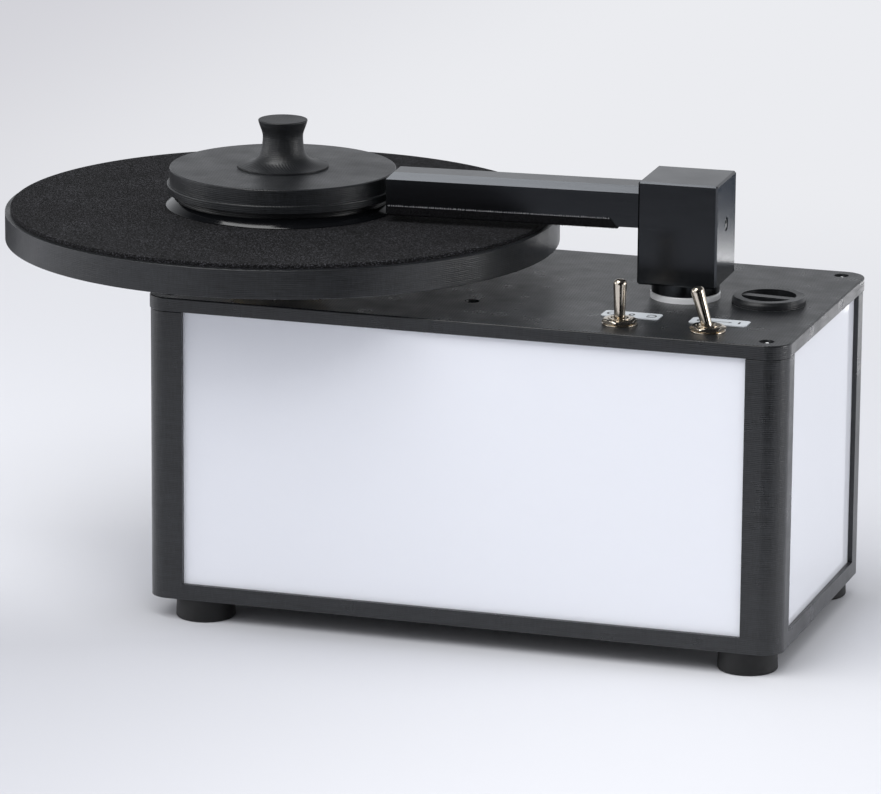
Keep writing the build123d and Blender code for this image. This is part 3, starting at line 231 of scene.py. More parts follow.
def lined_metal(name, colour, roughness, grain, depth, metallic=1.0):
    """Metal with the fine lines of a mill, a lathe or a brush: highlights stretch across the lines. The
    lines run along the axes in which the grain is longest, about three times coarser than in truth. A
    grain that is equal in all axes gives the blotches of plating instead."""
    uneven = 0.15
    finish, tree = new_finish(name)
    point = add(tree, "TexCoord").outputs["Object"]
    along = add(tree, "Mapping", {"Vector": point, "Scale": [1 / length for length in grain]}).outputs[0]
    lines = add(tree, "TexNoise", {"Vector": along, "Scale": 1.0, "Detail": 4.0,
                                   "Roughness": 0.65}).outputs["Fac"]
    polish = add(tree, "MapRange", {"Value": lines, "From Min": 0.3, "From Max": 0.7,
                                    "To Min": roughness * (1 - uneven),
                                    "To Max": roughness * (1 + uneven)}).outputs[0]
    bump = add(tree, "Bump", {"Height": lines, "Strength": 1.0, "Distance": depth}).outputs[0]
    shader = add(tree, "BsdfPrincipled", {"Base Color": colour, "Metallic": metallic,
                                          "Roughness": polish, "Normal": bump})
    add(tree, "OutputMaterial", {"Surface": shader.outputs[0]})
    return finish


def label_vinyl():
    """White vinyl film: smooth, faintly satin, with a little unevenness of the glue below."""
    glue, glue_depth = 5 * MM, 0.05 * MM
    finish, tree = new_finish("label_vinyl")
    point = add(tree, "TexCoord").outputs["Object"]
    bumps = add(tree, "TexNoise", {"Vector": point, "Scale": 1 / glue, "Detail": 2.0}).outputs["Fac"]
    bump = add(tree, "Bump", {"Height": bumps, "Strength": 1.0, "Distance": glue_depth}).outputs[0]
    shader = add(tree, "BsdfPrincipled", {"Base Color": "#BEC3C7", "Roughness": 0.35, "IOR": 1.5,
                                          "Normal": bump})
    add(tree, "OutputMaterial", {"Surface": shader.outputs[0]})
    return finish


def cotton_velvet():
    """Black cut-pile velvet: the pile drinks light from the front and glows a little at its edges."""
    tuft, tuft_depth = 0.6 * MM, 0.3 * MM
    finish, tree = new_finish("cotton_velvet")
    point = add(tree, "TexCoord").outputs["Object"]
    pile = add(tree, "TexNoise", {"Vector": point, "Scale": 1 / tuft, "Detail": 3.0}).outputs["Fac"]
    tone = add(tree, "MapRange", {"Value": pile, "From Min": 0.4, "From Max": 0.7}).outputs[0]
    colour = add(tree, "Mix", {MIX_AMOUNT: tone, FIRST_COLOUR: "#0B0B0C", SECOND_COLOUR: "#1D1D1F"},
                 data_type="RGBA").outputs[MIXED_COLOUR]
    bump = add(tree, "Bump", {"Height": pile, "Strength": 1.0, "Distance": tuft_depth}).outputs[0]
    shader = add(tree, "BsdfPrincipled", {"Base Color": colour, "Roughness": 1.0,
                                          "Specular IOR Level": 0.05, "Sheen Weight": 0.06,
                                          "Sheen Roughness": 0.4, "Sheen Tint": "#9A9A9E",
                                          "Normal": bump})
    add(tree, "OutputMaterial", {"Surface": shader.outputs[0]})
    return finish


# Lengths of a metal's grain, along X, Y and Z.
MILLED = (30 * MM, 30 * MM, 0.8 * MM)
TURNED = (12 * MM, 12 * MM, 0.5 * MM)
GROUND = (8 * MM, 8 * MM, 0.4 * MM)
BORED = (8 * MM, 8 * MM, 0.5 * MM)
ROLLED = (3 * MM, 3 * MM, 0.5 * MM)
DRAWN = (2 * MM, 2 * MM, 3 * MM)
PLATED = (6 * MM, 6 * MM, 6 * MM)

FINISHES = {
    # Printed PETG, satin black. The parts differ a little in gloss and in the depth of their lines. Each pair
    # of colours runs from the painted shade of the hollows to the ridges.
    "printed_case": printed_plastic("printed_petg", "#090A0B", "#25272A", 0.31, 0.09 * MM, 0.12 * MM),
    "clamp_black": printed_plastic("printed_petg_clamp", "#090A0B", "#232528", 0.36, 0.06 * MM, 0.1 * MM),
    "knob_black": printed_plastic("printed_petg_knob", "#08090A", "#202225", 0.42, 0.1 * MM, 0.09 * MM),
    "platter_black": printed_plastic("printed_petg_platter", "#08090A", "#222427", 0.36, 0.06 * MM,
                                     0.05 * MM),
    "cap_black": printed_plastic("printed_petg_cap", "#090A0B", "#25272A", 0.36, 0.06 * MM, 0.06 * MM),
    # Milky panels and the matt sheet on the platter.
    "opal_panel": opal_acrylic(),
    "mat_foam": cellular_rubber(),
    # Rubber is dull on the feet and shiny on the clamp's lip. The tank is pale and waxy.
    "foot_rubber": even_skin("moulded_rubber", "#070708", 0.6, 0.01 * MM),
    "seal_rubber": even_skin("sealing_rubber", "#0B0C0E", 0.12, 0.001 * MM),
    "tank_plastic": even_skin("tank_polypropylene", "#B9BCBE", 0.4, 0.01 * MM),
    "supply_plastic": even_skin("moulded_abs", "#17181A", 0.35, 0.01 * MM),
    # Black anodising keeps the shine of the metal below. The bare ring is dull from its lathe.
    "arm_black": lined_metal("black_anodised_aluminium", "#4A4C4F", 0.22, MILLED, 0.004 * MM),
    "bare_aluminium": lined_metal("turned_aluminium", "#F2F3F4", 0.5, TURNED, 0.02 * MM, metallic=0.3),
    # Steel and brass mirror more or less sharply, by how they were made. Nickel is a little warm.
    "cast_motor": lined_metal("zinc_plated_steel", "#8F9294", 0.35, PLATED, 0.02 * MM),
    "screw_steel": lined_metal("stainless_steel", "#BFC1C2", 0.22, ROLLED, 0.004 * MM),
    "spindle_steel": lined_metal("ground_steel", "#C4C6C8", 0.2, GROUND, 0.004 * MM),
    "bearing_brass": lined_metal("turned_brass", "#C9A862", 0.3, BORED, 0.006 * MM),
    "switch_nickel": lined_metal("nickel_plate", "#DDD3C4", 0.17, DRAWN, 0.002 * MM),
    # Strips beside the switches, and the velvet under the arm with the ends of its threads, painted pale as
    # the velvet's sheen.
    "label_white": label_vinyl(),
    "label_ink": even_skin("printing_ink", "#1A1B1D", 0.5, 0.002 * MM),
    "arm_velvet": cotton_velvet(),
    "painted_sheen_thread": even_skin("cotton_thread_painted_sheen", "#B4B4B8", 0.9, 0.02 * MM),
}


def dress_nodes():
    """Every CAD node takes the finish of its material slot."""
    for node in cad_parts.values():
        for slot in node.material_slots:
            slot.material = FINISHES[slot.name.split(".")[0]]


# ---------------------------------------------------------------- making pieces
CREASE = 35  # degrees: a sharper edge than this stays sharp


def show(name, mesh, finish, body):
    """Puts a mesh in the scene as a piece with a finish, riding on a body."""
    mesh.materials.clear()
    mesh.materials.append(FINISHES[finish])
    piece = bpy.data.objects.new(name, mesh)
    bpy.context.scene.collection.objects.link(piece)
    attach(piece, body)
    return piece


def mesh_of(name, work, crease):
    """The mesh of a finished bmesh, smooth up to a crease of that many degrees."""
    for face in work.faces:
        face.smooth = True
    mesh = bpy.data.meshes.new(name)
    work.to_mesh(mesh)
    work.free()
    mesh.set_sharp_from_angle(angle=math.radians(crease))
    return mesh


def make_piece(name, skin, finish, body, crease=CREASE):
    """A mesh piece from its points and faces."""
    work = bmesh.new()
    points = [work.verts.new(point) for point in skin[0]]
    for face in skin[1]:
        work.faces.new([points[corner] for corner in face])
    bmesh.ops.recalc_face_normals(work, faces=work.faces)
    return show(name, mesh_of(name, work, crease), finish, body)


def loft(rings, joined=False):
    """A closed skin through rings of equally many points. The two end rings are capped, or joined to
    each other."""
    count = len(rings[0])
    points = [point for ring in rings for point in ring]
    spans = len(rings) if joined else len(rings) - 1
    faces = []
    for row in range(spans):
        start, after = row * count, (row + 1) % len(rings) * count
        for step in range(count):
            beside = (step + 1) % count
            faces.append((start + step, start + beside, after + beside, after + step))
    if not joined:
        faces.append(tuple(range(count)))
        faces.append(tuple((len(rings) - 1) * count + step for step in range(count)))
    return points, faces


def merge(skins):
    """Several skins as one."""
    points, faces = [], []
    for some_points, some_faces in skins:
        shift = len(points)
        points.extend(some_points)
        faces.extend(tuple(corner + shift for corner in face) for face in some_faces)
    return points, faces


def placed(skin, matrix):
    return [matrix @ Vector(point) for point in skin[0]], skin[1]


def turned_ring(radius, height, count=48):
    """A level ring of points. The radius may depend on the angle."""
    ring = []
    for step in range(count):
        angle = 2 * math.pi * step / count
        reach = radius(angle) if callable(radius) else radius
        ring.append((reach * math.cos(angle), reach * math.sin(angle), height))
    return ring


def hexagon(across_flats, limit=math.inf):
    """The radius of a hexagon by angle, cut down to a circle where it reaches further than the limit."""
    sector = math.pi / 3

    def reach(angle):
        return min(across_flats / 2 / math.cos((angle + sector / 2) % sector - sector / 2), limit)

    return reach


# ---------------------------------------------------------------- the lid and the posts below it
SEAM_Z, SEAM_EASE = 170.0 * MM, 0.55 * MM
POSTS = ("post_front_left", "post_front_right", "post_rear_left", "post_rear_right")


def outer_outline(work, height):
    """The longest run of edges at a height between a level face and an upright one."""
    same_height, level, upright = 0.01 * MM, 0.9, 0.1
    rim = set()
    for edge in work.edges:
        if len(edge.link_faces) == 2 and all(abs(end.co.z - height) < same_height for end in edge.verts):
            flatness = sorted(abs(face.normal.z) for face in edge.link_faces)
            if flatness[0] < upright and flatness[1] > level:
                rim.add(edge)
    runs = []
    while rim:
        run, fresh = set(), [rim.pop()]
        while fresh:
            edge = fresh.pop()
            run.add(edge)
            near = {other for end in edge.verts for other in end.link_edges} & rim
            rim -= near
            fresh += near
        runs.append(run)
    return list(max(runs, key=lambda run: sum(edge.calc_length() for edge in run)))


def make_eased(node, height):
    """A printed piece whose outline at a height is rounded off, as the printer leaves it."""
    same_point, same_plane, steps = 0.001 * MM, math.radians(0.5), 3
    name = node + "_eased"
    work = bmesh.new()
    work.from_mesh(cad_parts[node].data)
    bmesh.ops.remove_doubles(work, verts=work.verts, dist=same_point)
    bmesh.ops.dissolve_limit(work, angle_limit=same_plane, verts=work.verts, edges=work.edges)
    bmesh.ops.bevel(work, geom=outer_outline(work, height), offset=SEAM_EASE, segments=steps,
                    profile=0.5, affect="EDGES", clamp_overlap=True)
    piece = show(name, mesh_of(name, work, CREASE), "printed_case", "case")
    piece.modifiers.new("flat_faces_stay_flat", "WEIGHTED_NORMAL").keep_sharp = True
    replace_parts(piece, node)


def make_seam():
    """The lid and the four posts meet in a dark line, because the edges of both are rounded off."""
    for node in ("top_plate",) + POSTS:
        make_eased(node, SEAM_Z)


# ---------------------------------------------------------------- screws, nuts and washers
SCREW_HEAD, SCREW_HEAD_HEIGHT, SCREW_SHANK, SCREW_KEY = 7.0 * MM, 2.6 * MM, 3.9 * MM, 2.5 * MM
SCREW_TURN = 0.3 / MM  # radians for each metre to the right, so that no two key holes line up
LID_Z, LID_SEAT, TRAY_SEAT, FOOT_SEAT = 177.5 * MM, 174.1 * MM, 15.4 * MM, 3.4 * MM
CASE_SCREW, FOOT_SCREW, BRACKET_SCREW = 24.0 * MM, 16.0 * MM, 7.1 * MM  # lengths
CASE_XS, CASE_YS = (-110.35 * MM, 214.85 * MM), (-84.0 * MM, 76.0 * MM)
FOOT_XS, FOOT_YS = (-94.25 * MM, 206.75 * MM), (-78.0 * MM, 70.0 * MM)
BRACKET_XS, BRACKET_YS = (-20.25 * MM, 44.75 * MM), (-47.7 * MM, 47.7 * MM)
NUT_FLATS, NUT_BORE, NUT_THICKNESS = 16.8 * MM, 11.9 * MM, 2.4 * MM
WASHER_DIAMETER, WASHER_BORE, WASHER_THICKNESS = 18.6 * MM, 12.2 * MM, 0.8 * MM
# Each switch: its place to the right and to the rear, and how far its nut is turned.
SWITCH_PLACES = ((132.75 * MM, -72.0 * MM, 0.0), (180.25 * MM, -72.0 * MM, math.radians(-12.0)))
AROUND = 72  # points round a nut or a washer


def button_screw(length):
    """A button-head screw with a hexagon key hole, its head resting on height nought."""
    radius, shank = SCREW_HEAD / 2, SCREW_SHANK / 2
    tip_radius, tip_length = 0.55 * shank, 1.2 * MM
    under_radius, under_height, rim_height = 0.96 * radius, 0.15 * MM, 1.1 * MM
    dome_inwards, dome_upwards, dome_lean = 2.1 * MM, 1.55 * MM, math.radians(58)
    key, key_mouth = hexagon(SCREW_KEY), hexagon(SCREW_KEY + 0.35 * MM)
    key_chamfer, key_depth, point_depth, point_radius = 0.18 * MM, 1.5 * MM, 0.4 * MM, 0.1 * MM
    top = SCREW_HEAD_HEIGHT - 0.12 * MM  # where the key hole cuts the dome
    rings = [turned_ring(tip_radius, -length), turned_ring(shank, tip_length - length),
             turned_ring(shank, 0.0), turned_ring(under_radius, 0.0), turned_ring(radius, under_height),
             turned_ring(radius, rim_height)]
    for part in (0.25, 0.5, 0.75, 1.0):
        lean = part * dome_lean
        rings.append(turned_ring(radius - dome_inwards * (1 - math.cos(lean)),
                                 rim_height + dome_upwards * math.sin(lean)))
    rings += [turned_ring(key_mouth, top), turned_ring(key, top - key_chamfer),
              turned_ring(key, top - key_depth), turned_ring(point_radius, top - key_depth - point_depth)]
    return loft(rings)


def screws_at(xs, ys, seat, length, from_below=False):
    """Screws of one length at every crossing of those lines, their heads resting on a seat."""
    over = Matrix.Rotation(math.pi, 4, "X") if from_below else Matrix.Identity(4)
    return [placed(button_screw(length), Matrix.Translation((x, y, seat))
                   @ Matrix.Rotation(SCREW_TURN * x, 4, "Z") @ over) for x in xs for y in ys]


def make_screws():
    case_screws = screws_at(CASE_XS, CASE_YS, LID_SEAT, CASE_SCREW)
    case_screws += screws_at(CASE_XS, CASE_YS, TRAY_SEAT, CASE_SCREW, from_below=True)
    foot_screws = screws_at(FOOT_XS, FOOT_YS, FOOT_SEAT, FOOT_SCREW, from_below=True)
    bracket_screws = screws_at(BRACKET_XS, BRACKET_YS, LID_SEAT, BRACKET_SCREW)
    for node, screws in (("case_screws", case_screws), ("foot_screws", foot_screws),
                         ("bracket_screws", bracket_screws)):
        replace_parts(make_piece(node + "_socket", merge(screws), "screw_steel", "case"), node)


def hexagon_nut():
    """A thin nut, standing on height nought. Both faces are chamfered down to a circle just inside the
    flats, and its bore has a lead."""
    slope, steps, lead = math.tan(math.radians(30)), 5, 0.35 * MM
    corner, face, bore = NUT_FLATS / 2 / math.cos(math.pi / 6), 0.97 * NUT_FLATS / 2, NUT_BORE / 2
    limits = [face + (corner - face) * step / steps for step in range(steps + 1)]
    rings = [turned_ring(bore + lead, 0.0, AROUND)]
    rings += [turned_ring(hexagon(NUT_FLATS, limit), (limit - face) * slope, AROUND) for limit in limits]
    rings += [turned_ring(hexagon(NUT_FLATS, limit), NUT_THICKNESS - (limit - face) * slope, AROUND)
              for limit in reversed(limits)]
    rings += [turned_ring(bore + lead, NUT_THICKNESS, AROUND),
              turned_ring(bore, NUT_THICKNESS - lead, AROUND), turned_ring(bore, lead, AROUND)]
    return loft(rings, joined=True)


def stamped_washer():
    """A thin washer whose edges are rolled a little by its stamping."""
    outer, inner, thick, roll = WASHER_DIAMETER / 2, WASHER_BORE / 2, WASHER_THICKNESS, 0.22 * MM
    part = 0.3 * roll
    profile = [(inner, roll), (inner + roll, 0.0), (outer - roll, 0.0), (outer - part, part),
               (outer, roll), (outer, thick - roll), (outer - part, thick - part), (outer - roll, thick),
               (inner + roll, thick), (inner, thick - roll)]
    return loft([turned_ring(radius, height, AROUND) for radius, height in profile], joined=True)


def make_switch_hardware():
    washers = [placed(stamped_washer(), Matrix.Translation((x, y, LID_Z))) for x, y, _ in SWITCH_PLACES]
    nuts = [placed(hexagon_nut(), Matrix.Translation((x, y, LID_Z + WASHER_THICKNESS))
                   @ Matrix.Rotation(turn, 4, "Z")) for x, y, turn in SWITCH_PLACES]
    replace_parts(make_piece("switch_washers_stamped", merge(washers), "switch_nickel", "case"),
                "switch_washers")
    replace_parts(make_piece("switch_nuts_chamfered", merge(nuts), "switch_nickel", "case"), "switch_nuts")


# ---------------------------------------------------------------- the turret's set screw
PIVOT_X, TURRET_TURN, BAR_TURN = 148.45 * MM, math.radians(1.7), math.radians(4.2)
SET_SCREW_Z, SET_SCREW_RADIUS, SET_SCREW_KEY = 218.3 * MM, 3.7 * MM, 4.0 * MM
SET_SCREW_START, SET_SCREW_END = 13.0 * MM, 21.0 * MM  # along its hole, from the turret's axis
THREAD_PITCH, THREAD_DEPTH = 1.0 * MM, 0.5 * MM


def make_set_screw():
    """Threaded all along, with a cup point inside and a chamfered end with a hexagon key hole outside,
    deep in its hole."""
    radius, start, end, key = SET_SCREW_RADIUS, SET_SCREW_START, SET_SCREW_END, hexagon(SET_SCREW_KEY)
    cup_depth, cup_radius, cup_rim, point_radius = 0.8 * MM, 0.3 * radius, 0.6 * radius, 0.1 * MM
    run_out, crest, shoulder, chamfer = 1.2 * MM, radius - 0.1 * MM, 0.7 * MM, 0.8 * MM
    key_mouth, key_chamfer, key_depth, key_end = hexagon(4.5 * MM), 0.25 * MM, 3.2 * MM, 4.0 * MM
    rings = [turned_ring(cup_radius, start + cup_depth), turned_ring(cup_rim, start)]
    height = start + cup_depth
    while height < end - run_out:
        rings += [turned_ring(radius - THREAD_DEPTH, height), turned_ring(radius, height + THREAD_PITCH / 2)]
        height += THREAD_PITCH
    rings += [turned_ring(crest, end - shoulder), turned_ring(radius - chamfer, end),
              turned_ring(key_mouth, end), turned_ring(key, end - key_chamfer),
              turned_ring(key, end - key_depth), turned_ring(point_radius, end - key_end)]
    hole = Matrix.Translation((PIVOT_X, 0.0, SET_SCREW_Z)) @ Matrix.Rotation(TURRET_TURN, 4, "Z")
    hole = hole @ Matrix.Rotation(math.pi / 2, 4, "Y")
    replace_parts(make_piece("set_screw_socket", placed(loft(rings), hole), "screw_steel", "arm"),
                "grub_screw")


# ---------------------------------------------------------------- the clamp's rubber lip
LIP_RADIUS, LIP_ROOT, LIP_FOOT, LIP_THICKNESS = 63.4 * MM, 58.9 * MM, 44.0 * MM, 1.5 * MM
LIP_BOTTOM, LIP_TOP, LIP_DISH, LIP_ROUND = 211.5 * MM, 215.6 * MM, 0.06 * MM, 0.12 * MM


def make_seal():
    """The clamp's flared lip of rubber. It is dished outside, so it catches one long highlight."""
    steps, around = 14, 240
    low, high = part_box("clamp_seal")
    across, up = LIP_ROOT - LIP_RADIUS, LIP_TOP - LIP_BOTTOM
    length = math.hypot(across, up)
    profile = [(LIP_RADIUS - LIP_ROUND, LIP_BOTTOM)]
    for step in range(1, steps + 1):
        share = step / steps
        dish = LIP_DISH * (1 - (2 * share - 1) ** 2) / length
        profile.append((LIP_RADIUS + across * share - up * dish, LIP_BOTTOM + up * share + across * dish))
    profile += [(LIP_FOOT, LIP_TOP), (LIP_FOOT, LIP_TOP - LIP_THICKNESS),
                (LIP_ROOT - LIP_THICKNESS, LIP_TOP - LIP_THICKNESS), (LIP_RADIUS - LIP_THICKNESS, LIP_BOTTOM)]
    skin = loft([turned_ring(radius, height, around) for radius, height in profile], joined=True)
    middle = Matrix.Translation(((low[0] + high[0]) / 2, (low[1] + high[1]) / 2, 0.0))
    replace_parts(make_piece("clamp_seal_lip", placed(skin, middle), "seal_rubber", "clamp"), "clamp_seal")


# ---------------------------------------------------------------- plain marks on the switch labels
INK_HEIGHT, LINE, THIN_LINE, THICK_LINE = 0.06 * MM, 0.8 * MM, 0.5 * MM, 0.96 * MM
LABEL_1_X, LABEL_2_X, LABEL_Y, LABEL_TOP = 133.65 * MM, 181.15 * MM, -51.7 * MM, 178.0 * MM
MARK_SPACING, ARC_RADIUS, NOUGHT_WIDTH, NOUGHT_HEIGHT = 10.6 * MM, 2.5 * MM, 2.4 * MM, 3.8 * MM
STROKE_HEIGHT = 4.0 * MM


def flat_band(path, width):
    """A thin raised band of ink along a level path."""
    rings = []
    for place, point in enumerate(path):
        before, after = Vector(path[max(place - 1, 0)]), Vector(path[min(place + 1, len(path) - 1)])
        along = (after - before).normalized()
        side = Vector((-along.y, along.x)) * width / 2
        left, right = Vector(point) + side, Vector(point) - side
        rings.append([(left.x, left.y, LABEL_TOP), (right.x, right.y, LABEL_TOP),
                      (right.x, right.y, LABEL_TOP + INK_HEIGHT), (left.x, left.y, LABEL_TOP + INK_HEIGHT)])
    return loft(rings)


def arrow_head(middle, angle, size):
    """A triangle of ink round a point, pointing that way."""
    corners = [Vector(middle) + Matrix.Rotation(angle, 2) @ Vector(corner)
               for corner in ((size, 0.0), (-0.5 * size, 0.8 * size), (-0.5 * size, -0.8 * size))]
    return loft([[(corner.x, corner.y, height) for corner in corners]
                 for height in (LABEL_TOP, LABEL_TOP + INK_HEIGHT)])


def turn_arrow(x, start, end):
    """A plain arc from one angle to another, in degrees, with an arrow head at its end."""
    steps, head = 20, 1.2 * MM
    angles = [math.radians(start + (end - start) * step / steps) for step in range(steps + 1)]
    path = [(x + ARC_RADIUS * math.cos(angle), LABEL_Y + ARC_RADIUS * math.sin(angle)) for angle in angles]
    heading = angles[-1] + math.copysign(math.pi / 2, end - start)
    return [flat_band(path, LINE), arrow_head(path[-1], heading, head)]


def nought(x):
    """An upright oval."""
    steps = 24
    angles = [2 * math.pi * step / steps for step in range(steps + 1)]
    return flat_band([(x + NOUGHT_WIDTH / 2 * math.cos(angle), LABEL_Y + NOUGHT_HEIGHT / 2 * math.sin(angle))
                      for angle in angles], LINE)


def stroke(x):
    return flat_band([(x, LABEL_Y - STROKE_HEIGHT / 2), (x, LABEL_Y + STROKE_HEIGHT / 2)], THICK_LINE)


def long_arrow(start, end):
    """A level line to the right, with its arrow head a little past its end."""
    overlap, head = 0.6 * MM, 1.1 * MM
    return [flat_band([(start, LABEL_Y), (end, LABEL_Y)], THIN_LINE),
            arrow_head((end + overlap, LABEL_Y), 0.0, head)]


def make_label_marks():
    """The first label shows both ways of turning about a nought, the second a nought and a stroke."""
    first = [nought(LABEL_1_X)] + turn_arrow(LABEL_1_X - MARK_SPACING, 20, 310)
    first += turn_arrow(LABEL_1_X + MARK_SPACING, 160, -130)
    second = [nought(LABEL_2_X - MARK_SPACING), stroke(LABEL_2_X + MARK_SPACING)]
    second += long_arrow(LABEL_2_X - 6 * MM, LABEL_2_X + 5 * MM)
    make_piece("switch_marks_1", merge(first), "label_ink", "case")
    make_piece("switch_marks_2", merge(second), "label_ink", "case")


# ---------------------------------------------------------------- velvet strips under the arm
# In the arm's frame X runs from the pivot to the tip, and a strip's heights are above the bar's bottom.
ARM_FRAME = Matrix.Translation((PIVOT_X, 0.0, 0.0)) @ Matrix.Rotation(math.pi + BAR_TURN, 4, "Z")
BAR_BOTTOM, BAR_HALF, SLOT_HALF = 215.7 * MM, 11.0 * MM, 1.25 * MM
VELVET_START, VELVET_END, VELVET_SLANT, VELVET_RISE = 35.0 * MM, 160.5 * MM, 4.2 * MM, 4.2 * MM
VELVET_DEEP, VELVET_PROUD, VELVET_GAP, VELVET_CORNER = 0.9 * MM, 0.85 * MM, 0.05 * MM, 0.9 * MM
VELVET_STEP, TUFT_STEP = 0.8 * MM, 0.6 * MM
FRONT, REAR = 1, -1  # sides of the slot


def velvet_profile():
    """Outside and inside of a strip in the bar's cross section, from the slot round to its top edge."""
    corner, outer, outside = VELVET_CORNER, BAR_HALF + VELVET_PROUD, []
    below_steps, corner_steps, side_steps, edge_slope = 6, 4, 3, 0.15 * MM
    for step in range(below_steps + 1):
        outside.append((SLOT_HALF + (outer - corner - SLOT_HALF) * step / below_steps, -VELVET_DEEP))
    for step in range(1, corner_steps + 1):
        angle = math.pi / 2 * step / corner_steps
        outside.append((outer - corner + corner * math.sin(angle),
                        corner - VELVET_DEEP - corner * math.cos(angle)))
    side = VELVET_RISE + VELVET_DEEP - corner
    for step in range(1, side_steps + 1):
        outside.append((outer, corner - VELVET_DEEP + side * step / side_steps))
    inside = [(BAR_HALF + VELVET_GAP, VELVET_RISE - edge_slope), (BAR_HALF + VELVET_GAP, -VELVET_GAP),
              (SLOT_HALF, -VELVET_GAP)]
    return outside, inside


def along_strip(share, height):
    """How far from the pivot a point of the strip lies. Its end at the turret is cut on the slant."""
    slant = VELVET_SLANT * (height + VELVET_DEEP) / (VELVET_RISE + VELVET_DEEP)
    return VELVET_START + slant + (VELVET_END - VELVET_START - slant) * share


def velvet_cloth(side, chance):
    """The skin of a strip. Its underside waves a little along the bar, and it is ruffled all over."""
    outside, inside = velvet_profile()
    count = int((VELVET_END - VELVET_START) / VELVET_STEP)
    wave_size, ruffle_size, sideways = 0.07, 0.06, 0.4
    rings = []
    for step in range(count + 1):
        share, wave, ring = step / count, chance.uniform(-wave_size, wave_size) * MM, []
        for across, height in outside:
            ruffle = chance.uniform(-ruffle_size, ruffle_size) * MM
            lift = wave + ruffle if across < BAR_HALF else 0.0
            ring.append(ARM_FRAME @ Vector((along_strip(share, height), side * (across + sideways * ruffle),
                                            BAR_BOTTOM + height + lift)))
        for across, height in inside:
            ring.append(ARM_FRAME @ Vector((along_strip(share, height), side * across,
                                            BAR_BOTTOM + height)))
        rings.append(ring)
    return loft(rings)


def tuft(root, lean, width, side):
    """A slim pyramid of thread from its root to its tip."""
    half = Vector((width, 0.0, 0.0))
    corners = [root - half, root + half, root + Vector((0.0, side * width, width)), root + lean]
    return [ARM_FRAME @ corner for corner in corners], [(0, 1, 2), (0, 1, 3), (1, 2, 3), (2, 0, 3)]


def velvet_threads(side, chance):
    """The cut threads along a strip's top edge, long and short by turns, and the pile below it. How far
    each leans and reaches is drawn by chance, in millimetres."""
    long, short, thread_width, pile_width = 1.15, 0.6, 0.3 * MM, 0.2 * MM
    edge_z, pile_z = BAR_BOTTOM + VELVET_RISE - 0.3 * MM, BAR_BOTTOM - VELVET_DEEP + 0.15 * MM
    edge, pile = [], []
    count = int((VELVET_END - VELVET_START - VELVET_SLANT) / TUFT_STEP)
    for step in range(count):
        along = along_strip((step + chance.uniform(0.2, 0.8)) / count, VELVET_RISE)
        root = Vector((along, side * (BAR_HALF + chance.uniform(0.45, 0.7) * MM), edge_z))
        tall = long if step % 2 else short
        lean = Vector((chance.uniform(-0.3, 0.3), side * chance.uniform(0.05, 0.25),
                       tall * chance.uniform(0.8, 1.15))) * MM
        edge.append(tuft(root, lean, thread_width, side))
        along = along_strip((step + chance.uniform(0.2, 0.8)) / count, -VELVET_DEEP)
        root = Vector((along, side * (BAR_HALF - chance.uniform(0.0, 0.9) * MM), pile_z))
        lean = Vector((chance.uniform(-0.3, 0.3), side * chance.uniform(-0.1, 0.2),
                       -chance.uniform(0.4, 0.9))) * MM
        pile.append(tuft(root, lean, pile_width, side))
    return merge(edge), merge(pile)


def make_velvet(side, node, seed):
    """One strip of velvet with its cut edge and its pile."""
    chance = random.Random(seed)
    cloth = make_piece(node + "_cloth", velvet_cloth(side, chance), "arm_velvet", "arm", crease=60)
    edge, pile = velvet_threads(side, chance)
    # The cut threads are pale: painted sheen along the velvet's top edge.
    threads = make_piece(node + "_edge", edge, "painted_sheen_thread", "arm")
    fringe = make_piece(node + "_pile", pile, "arm_velvet", "arm")
    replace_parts(cloth, node)


# ---------------------------------------------------------------- floor, backdrop and lights
FLOOR_HALF, FLOOR_DROP, CARD_LIFT = 7.0, 0.1 * MM, 0.3 * MM


def seen_rays(tree):
    """One for the rays of the camera, of mirrors and of glass, and nought for those that light things."""
    ray = add(tree, "LightPath").outputs
    seen = add(tree, "Math", {0: ray["Is Camera Ray"], 1: ray["Is Glossy Ray"]},
               operation="MAXIMUM").outputs[0]
    return add(tree, "Math", {0: seen, 1: ray["Is Transmission Ray"]}, operation="MAXIMUM").outputs[0]


